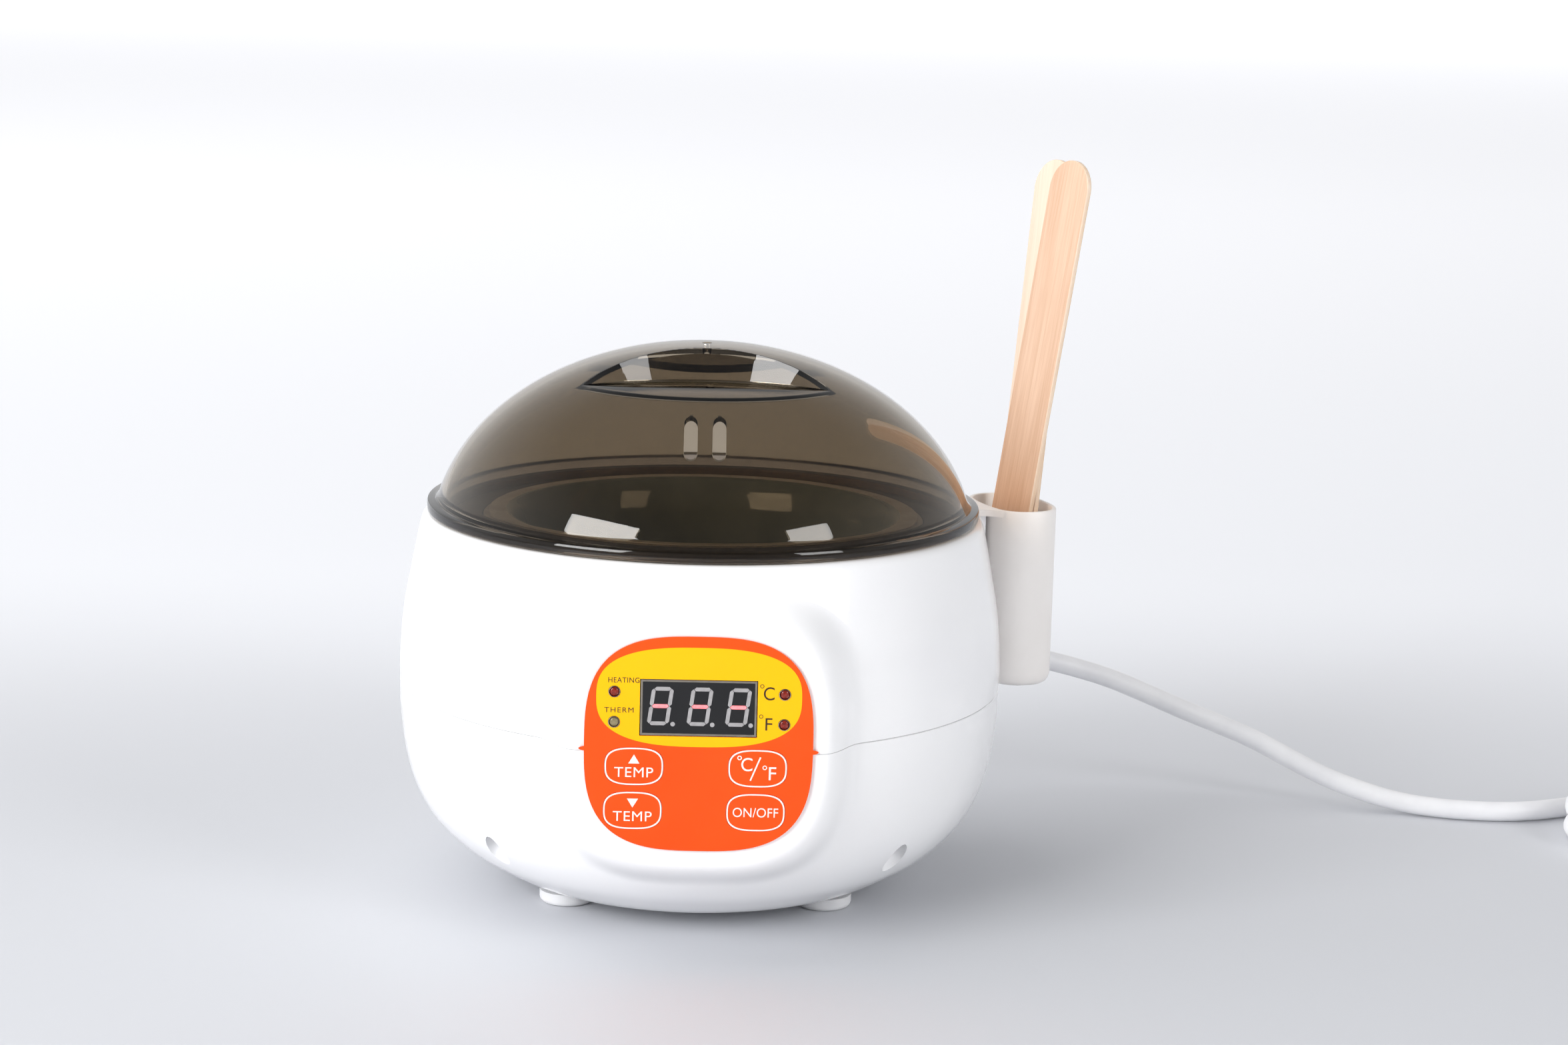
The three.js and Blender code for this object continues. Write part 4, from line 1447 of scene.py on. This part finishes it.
@dataclass
class Panel:
    """The printed film with its keys, lamps and three-figure display."""

    film_front: float = -89.5
    film_thick: float = 0.5
    film_z: float = 62.8
    display_front: float = -89.36
    slant: float = 7.5

    keys = {
        "key_up": (-17.2, 56.5), "key_down": (-17.4, 44.3), "key_unit": (15.9, 56.5), "key_power": (15.6, 44.3),
    }
    lamps = {
        "led_heating": (-22.7, 77.0), "led_warm": (-22.7, 68.7),
        "led_celsius": (22.7, 77.0), "led_fahrenheit": (22.7, 68.7),
    }

    def ink_front(self, layer: Layer) -> float:
        """Returns where a printed layer's front lies along Y, in millimetres."""
        return self.film_front - layer.value

    def key_shape(self, name: str, grow: float = 0.0) -> Outline:
        """Returns a key's outline, let out by a margin."""
        x, z = self.keys[name]
        return Outline(x, z, 7.85 + grow, 5.2 + grow, 2.9)

    def make_film(self) -> None:
        """Cuts the orange film with openings for the display, the lamps and the keys."""
        shape = Outline(0, self.film_z, 30.6, 29.5, 3.0, 160)
        film = shape.blank("panel_film", self.film_front, self.film_thick)
        for side in SIDES:
            tab = Outline(side * 30.4, 61.2, 1.7, 0.6, 1.6, 16).blank("tab", self.film_front + 0.02, 0.44)
            carve(film, tab, Cut.JOIN)
        field = Outline(-0.1, 75.75, 27.4, 13.6, 2.7, 128).blank(
            "yellow_field", self.ink_front(Layer.FIELD), 0.035
        )
        for piece in (film, field):
            carve(piece, slab("tool", (-15.9, -92, 65), (15.5, -86, 80.6)), Cut.TAKE_AWAY)
            for x, z in self.lamps.values():
                carve(piece, drilled("tool", 1.62, spot(x, -92, z), spot(x, -86, z)), Cut.TAKE_AWAY)
        for name in self.keys:
            carve(film, self.key_shape(name, 0.12).blank("tool", -92, 6), Cut.TAKE_AWAY)
        hand_over(film, "housing", "panel_film", ORANGE_FILM, "panel_overlay")
        hand_over(field, "housing", "panel_film", YELLOW_FIELD)

    def make_keys(self) -> None:
        """Makes each key: a film pad on a stem, with its printed edge and sign."""
        front = self.ink_front(Layer.INK)
        for name, (x, z) in self.keys.items():
            pad = self.key_shape(name).blank(f"{name}_pad", self.film_front, self.film_thick)
            stem = drilled("stem", 2.6, spot(x, -89.3, z), spot(x, -86.2, z), 32)
            carve(pad, stem, Cut.JOIN)
            hand_over(pad, name, "panel_film", ORANGE_FILM, name)
            signs = [self.key_shape(name, -0.05).line("line", front, 0.05, 0.38)]
            signs += self.key_signs(name, x, z, front)
            hand_over(joined(f"{name}_print", signs), name, "panel_film", WHITE_INK)

    def arrow(self, x: float, z: float, up: bool, front: float) -> bpy.types.Object:
        """Cuts a small triangle.

        Args:
            x: Its middle across the panel, in millimetres.
            z: Its middle up the panel, in millimetres.
            up: Whether it points up.
            front: Where its front lies along Y, in millimetres.

        Returns:
            The triangle.
        """
        piece = round_blank("arrow", 3)
        corners = ((-1.5, -1.25), (1.5, -1.25), (0, 1.25))
        for vertex, (dx, dz) in zip(piece.data.vertices, corners):
            vertex.co = spot(x + dx, front, z + (dz if up else -dz))
        return thicken(piece, (0, 0.05, 0))

    def key_signs(self, name: str, x: float, z: float, front: float) -> list[bpy.types.Object]:
        """Prints a key's generic sign.

        Args:
            name: The key.
            x: The key's middle across the panel, in millimetres.
            z: The key's middle up the panel, in millimetres.
            front: Where the ink's front lies along Y, in millimetres.

        Returns:
            The sign's parts.
        """
        if name == "key_power":
            return [lettering("sign", "ON/OFF", x, z, 2.6, front, 12.2, 1.02)]
        if name == "key_unit":
            slash = slab("slash", (x - 0.2, front, z - 3.5), (x + 0.2, front + 0.05, z + 3.5))
            lean = Matrix.Rotation(math.radians(22), 4, "Y")
            middle = spot(x - 0.6, front, z - 0.1)
            slash.data.transform(
                Matrix.Translation(middle) @ lean @ Matrix.Translation(-spot(x, front, z))
            )
            return [
                slash,
                Outline(x - 4.9, z + 2.9, 0.62, 0.62, 2.0, 24).line("degree", front, 0.05, 0.26),
                lettering("sign", "C", x - 2.9, z + 1.1, 3.7, front, 3.0),
                Outline(x + 1.9, z + 0.3, 0.62, 0.62, 2.0, 24).line("degree", front, 0.05, 0.26),
                lettering("sign", "F", x + 4.0, z - 1.3, 3.6, front, 1.95),
            ]
        up = name == "key_up"
        return [
            self.arrow(x, z + 2.05, up, front),
            lettering("sign", "TEMP", x, z - 1.6, 2.7, front, 10.4, 1.08),
        ]

    def make_lamps(self) -> None:
        """Makes the four indicator lamps, each a dome in a bright cup."""
        for name, (x, z) in self.lamps.items():
            lens = turned(f"{name}_lens", [
                (0, 0), (1.3, 0), (1.3, 8.5), (1.1, 8.85), (0.7, 9.0), (0, 9.08),
            ], 32)
            wall = ring([(1.3, 6), (1.55, 6), (1.55, 9.12), (1.42, 9.16), (1.33, 8.9)])
            cup = turned(f"{name}_cup", wall, 32)
            place = Matrix.Translation(spot(x, -80.6, z)) @ Matrix.Rotation(math.pi / 2, 4, "X")
            for piece in (lens, cup):
                piece.data.transform(place @ Matrix.Translation(-AXIS))
                smooth(piece, 50)
            grey = name == "led_warm"
            hand_over(lens, "housing", "led_red", LAMP_GREY if grey else LAMP_RED, name)
            hand_over(cup, "housing", "led_red", LAMP_CUP)

    def make_labels(self) -> None:
        """Prints the lamps' generic labels in dark ink."""
        front = self.ink_front(Layer.INK)
        signs = [
            lettering("label", "HEATING", -20.2, 80.2, 1.45, front, 8.3, 1.1),
            lettering("label", "THERM", -21.4, 72.0, 1.4, front, 7.8, 1.2),
            Outline(16.6, 79.2, 0.55, 0.55, 2.0, 24).line("degree", front, 0.05, 0.16),
            lettering("label", "C", 18.5, 77.2, 3.6, front, 2.9),
            Outline(16.5, 70.9, 0.55, 0.55, 2.0, 24).line("degree", front, 0.05, 0.16),
            lettering("label", "F", 18.6, 68.8, 3.4, front, 1.85),
        ]
        hand_over(joined("lamp_labels", signs), "housing", "panel_film", BLACK_INK)

    def segment(self, length: float) -> bpy.types.Object:
        """Cuts one display segment: a bar with pointed ends.

        Args:
            length: Its length from point to point, in millimetres.

        Returns:
            The bar, at the origin.
        """
        half, tip = 0.52, 0.52
        piece = round_blank("segment", 6)
        x = length / 2
        corners = ((x, 0), (x - tip, half), (tip - x, half), (-x, 0), (tip - x, -half), (x - tip, -half))
        for vertex, (dx, dz) in zip(piece.data.vertices, corners):
            vertex.co = Vector((dx, 0, dz)) * MM
        return thicken(piece, (0, 0.04, 0))

    def make_display(self) -> None:
        """Makes the display's face, its surround and its three slanted figures."""
        x, z, wide, tall = -0.2, 72.8, 15.4, 7.5
        face = slab("display_face", (x - wide, -89.3, z - tall), (x + wide, -88.9, z + tall))
        soften(face, 0.12, 2)
        hand_over(face, "housing", "dark_window", DISPLAY_FACE, "display_window")
        blocks = []
        for name, grow, front, back in (("display_edge", 0.1, -89.45, -89.0), ("tool", -0.45, -92, -86)):
            low = (x - wide - grow, front, z - tall - grow)
            high = (x + wide + grow, back, z + tall + grow)
            blocks.append(slab(name, low, high))
        edge, hole = blocks
        carve(edge, hole, Cut.TAKE_AWAY)
        soften(edge, 0.08, 2)
        hand_over(edge, "housing", "dark_window", DISPLAY_EDGE)

        bars = {"across": self.segment(4.5), "upright": self.segment(4.75)}
        layout = (
            ("across", 0, 4.75, "grey"), ("across", 0, 0, "lit"), ("across", 0, -4.75, "grey"),
            ("upright", -2.4, 2.38, "grey"), ("upright", 2.4, 2.38, "grey"),
            ("upright", -2.4, -2.38, "grey"), ("upright", 2.4, -2.38, "grey"),
        )
        slant = math.tan(math.radians(self.slant))
        parts: dict[str, list[bpy.types.Object]] = {"grey": [], "lit": []}
        for number, middle in enumerate((-10.4, 0.15, 10.4)):
            for kind, dx, dz, state in layout:
                bar = copied(bars[kind], f"bar_{number}")
                for vertex in bar.data.vertices:
                    p = vertex.co / MM
                    px, pz = (p.x, p.z) if kind == "across" else (p.z, p.x)
                    px, pz = px + dx, pz + dz
                    vertex.co = spot(middle + px + pz * slant, self.display_front + p.y, 73.2 + pz)
                tidy_skin(bar)
                parts[state].append(bar)
            dot = Outline(middle + 3.35, 68.3, 0.62, 0.62, 2.0, 24)
            parts["grey"].append(dot.blank("dot", self.display_front, 0.04))
        for bar in bars.values():
            bpy.data.objects.remove(bar)
        hand_over(joined("display_unlit", parts["grey"]), "housing", "dark_window", SEGMENT_GREY)
        hand_over(joined("display_lit", parts["lit"]), "housing", "led_red", SEGMENT_LIT)

    def build(self) -> None:
        """Builds the panel."""
        self.make_film()
        self.make_keys()
        self.make_lamps()
        self.make_labels()
        self.make_display()


# ---------------------------------------------------------------- cup and spatulas


@dataclass
class Cup:
    """The clip-on cup beside the housing."""

    azimuth: float = 20.0
    reach: float = 99.6
    deep: float = 11.0
    wide: float = 17.0
    wall: float = 1.3
    top: float = 107.8
    base: float = 54.0
    power: float = 2.6

    def plate(self, name: str, inset: float, z: float) -> bpy.types.Object:
        """Cuts a flat plate to the cup's outline.

        Args:
            name: The new piece's name.
            inset: How far inside the cup's outer skin its edge lies, in millimetres.
            z: Its height.

        Returns:
            The plate, one face thick.
        """
        piece = round_blank(name, 96)
        for vertex in piece.data.vertices:
            angle = math.atan2(vertex.co.y, vertex.co.x)
            x, y = rounded_square(self.deep - inset, self.wide - inset, self.power, angle)
            vertex.co = spot(self.reach + x, y, z)
        return piece

    def loft(self) -> bpy.types.Object:
        """Draws the cup up from its base, over its rim and down inside.

        Returns:
            The cup, on the +X side.
        """
        t = self.wall
        levels = [
            (self.base + 0.2, 1.9), (self.base + 0.8, 1.0), (self.base + 1.7, 0.4), (self.base + 2.7, 0.1),
            (self.base + 3.8, 0.0), (self.base + 20, 0.0), (self.base + 38, 0.0), (self.top - 0.5, 0.0),
            (self.top - 0.15, 0.15), (self.top, 0.45), (self.top, t - 0.45), (self.top - 0.15, t - 0.15),
            (self.top - 0.5, t), (self.base + 38, t), (self.base + 20, t), (self.base + t + 2.4, t),
            (self.base + t + 1.0, t + 0.4), (self.base + t + 0.2, t + 1.4), (self.base + t, t + 2.6),
        ]
        inset, z = 3.2, self.base
        piece = self.plate("spatula_holder", inset, z)
        start_editing(piece)
        for next_z, next_inset in levels:
            bpy.ops.mesh.extrude_region_move(TRANSFORM_OT_translate={"value": (0, 0, (next_z - z) * MM)})
            across = (self.deep - next_inset) / (self.deep - inset)
            along = (self.wide - next_inset) / (self.wide - inset)
            centre = spot(self.reach, 0, next_z)
            bpy.ops.transform.resize(value=(across, along, 1), center_override=centre)
            inset, z = next_inset, next_z
        stop_editing()
        tidy_skin(piece)
        return piece

    def tongue(self) -> bpy.types.Object:
        """Cuts the flared tongue that bridges to the housing's rim.

        Returns:
            The tongue.
        """
        root, tip = self.reach - self.deep + 2.0, 82.9
        bpy.ops.object.select_all(action="DESELECT")
        bpy.ops.mesh.primitive_grid_add(x_subdivisions=10, y_subdivisions=12, size=2 * MM, location=(0, 0, 0))
        piece = named(bpy.context.object, "tongue")
        for vertex in piece.data.vertices:
            along = min(1.0, max(0.0, (vertex.co.x / MM + 1) / 2))
            half = 9 + 4.6 * along**2.6
            vertex.co = spot(tip + (root - tip) * along, vertex.co.y / MM * half, self.top - 2)
        return thicken(piece, (0, 0, 1.98))

    def build(self) -> None:
        """Builds the cup."""
        cup = self.loft()
        tongue = self.tongue()
        carve(tongue, self.inner_core(), Cut.TAKE_AWAY)
        carve(cup, tongue, Cut.JOIN)
        lip = slab("lip", (84.6, -8, 97.3), (85.8, 8, self.top - 1))
        soften(lip, 0.4, 3)
        carve(cup, lip, Cut.JOIN)
        cup.data.transform(
            Matrix.Translation(AXIS) @ Matrix.Rotation(math.radians(self.azimuth), 4, "Z")
            @ Matrix.Translation(-AXIS)
        )
        smooth(cup, 40)
        hand_over(cup, "spatula_cup", "cup_plastic", CUP_PLASTIC, "spatula_cup")

    def inner_core(self) -> bpy.types.Object:
        """Makes the cup's inside as a solid, so that nothing is left standing in its mouth."""
        low, high = self.base + 6, self.top + 5
        return thicken(self.plate("core", self.wall - 0.05, low), (0, 0, high - low))


@dataclass
class Spatulas:
    """Two birch spatulas that stand crossed in the cup."""

    foot: tuple[float, float, float] = (86.9, 33.3, 57.8)
    lean: tuple[float, float, float] = (0.143, 0.03, 1.0)
    width_along: tuple[float, float, float] = (0.533, -0.846, 0.0)
    length: float = 155.0
    width: float = 18.0
    thick: float = 1.7
    spread: float = 5.8
    crossing: float = 49.0
    gap: float = 0.3

    def blade(self) -> bpy.types.Object:
        """Cuts one round-ended blade and breaks its edges.

        Returns:
            The blade, lying flat with its foot at the origin.
        """
        bpy.ops.object.select_all(action="DESELECT")
        bpy.ops.mesh.primitive_circle_add(
            vertices=96, radius=self.width / 2 * MM, fill_type="NGON",
            location=(0, self.width / 2 * MM, -self.thick / 2 * MM),
        )
        piece = named(bpy.context.object, "blade")
        settle(piece)
        for vertex in piece.data.vertices:
            if vertex.co.y > (self.width / 2 + 0.01) * MM:
                vertex.co.y += (self.length - self.width) * MM
        thicken(piece, (0, 0, self.thick))
        soften(piece, 0.28, 2)
        smooth(piece, 50)
        return piece

    def build(self) -> None:
        """Builds the spatulas."""
        along = Vector(self.lean).normalized()
        face = Vector(self.width_along).cross(along).normalized()
        across = along.cross(face)
        blade = self.blade()
        turn = math.radians(self.spread)
        aside = across * self.crossing * math.tan(turn)
        back_foot = Vector(self.foot) - face * (self.thick + self.gap) + aside
        for name, foot, angle, offset in (
            ("spatula_front", Vector(self.foot), 0.0, 0.0), ("spatula_back", back_foot, turn, 0.37),
        ):
            swing = Matrix.Rotation(angle, 3, face)
            axes = Matrix((swing @ across, swing @ along, face)).transposed()
            piece = copied(blade, f"{name}_blade")
            piece.data.transform(Matrix.Translation(spot(*foot)) @ axes.to_4x4())
            turn_back = axes.inverted().to_euler("XYZ")
            # Painted light: the front blade's darker colours are painted shade and the back blade's paler ones
            # painted light on the same birch.
            pale, dark = ("#e8c4a9", "#d0a585") if angle == 0.0 else ("#f3dcc8", "#e6c7ae")
            flat = Timber(f"birch_face_painted_light_{name}", pale, dark, tuple(turn_back), offset)
            # The edge faces are painted paler as a painted highlight.
            edge = Timber(f"birch_edge_painted_highlight_{name}", "#f6e2cd", "#e6c29f", tuple(turn_back), offset + 0.2)
            dress(piece, flat, edge)
            for side in piece.data.polygons:
                side.material_index = int(abs(side.normal.dot(face)) < 0.5)
            hand_over(piece, name, "wood", None, name)
        bpy.data.objects.remove(blade)


# ---------------------------------------------------------------- inner parts kept from the CAD


class InnerParts:
    """The parts inside the housing that keep their CAD shape and get their finishes."""

    nodes = {
        PLATED_STEEL: (
            "housing_screw_1", "housing_screw_2", "housing_screw_3", "housing_screw_4", "heater_band",
            "thermistor", "plug_pin_1", "plug_pin_2",
        ),
        GLASS_FIBRE: ("insulation_sleeve",),
        BLACK_PLASTIC: (
            "thermal_fuse", "tact_switch_up", "tact_switch_down", "tact_switch_unit", "tact_switch_power",
            "display_module", "relay", "power_transformer",
        ),
        CIRCUIT_BOARD: ("control_board", "power_board"),
        CAPACITOR_SKIN: ("suppression_capacitor",),
        TERMINAL_GREEN: ("terminal_block",),
        WHITE_ABS: ("cup_hook",),
    }

    def build(self) -> None:
        """Gives each kept node its finish."""
        for finish, names in self.nodes.items():
            material = Store.take(finish)
            for name in names:
                node = bpy.data.objects[name]
                if not node.material_slots:
                    node.data.materials.append(material)
                for slot in node.material_slots:
                    slot.material = material
            LOG.info("%s: %s", finish.name, ", ".join(names))


def main() -> None:
    """Builds every sub-assembly in order."""
    logging.basicConfig(level=logging.INFO, format="%(message)s")
    for work in (
        Studio(), MainsLead(), Housing(), Heater(), Lid(), Panel(), Cup(), Spatulas(), InnerParts(),
    ):
        LOG.info("-- %s", type(work).__name__)
        work.build()
    bpy.ops.object.select_all(action="DESELECT")


if __name__ == "__main__":
    main()
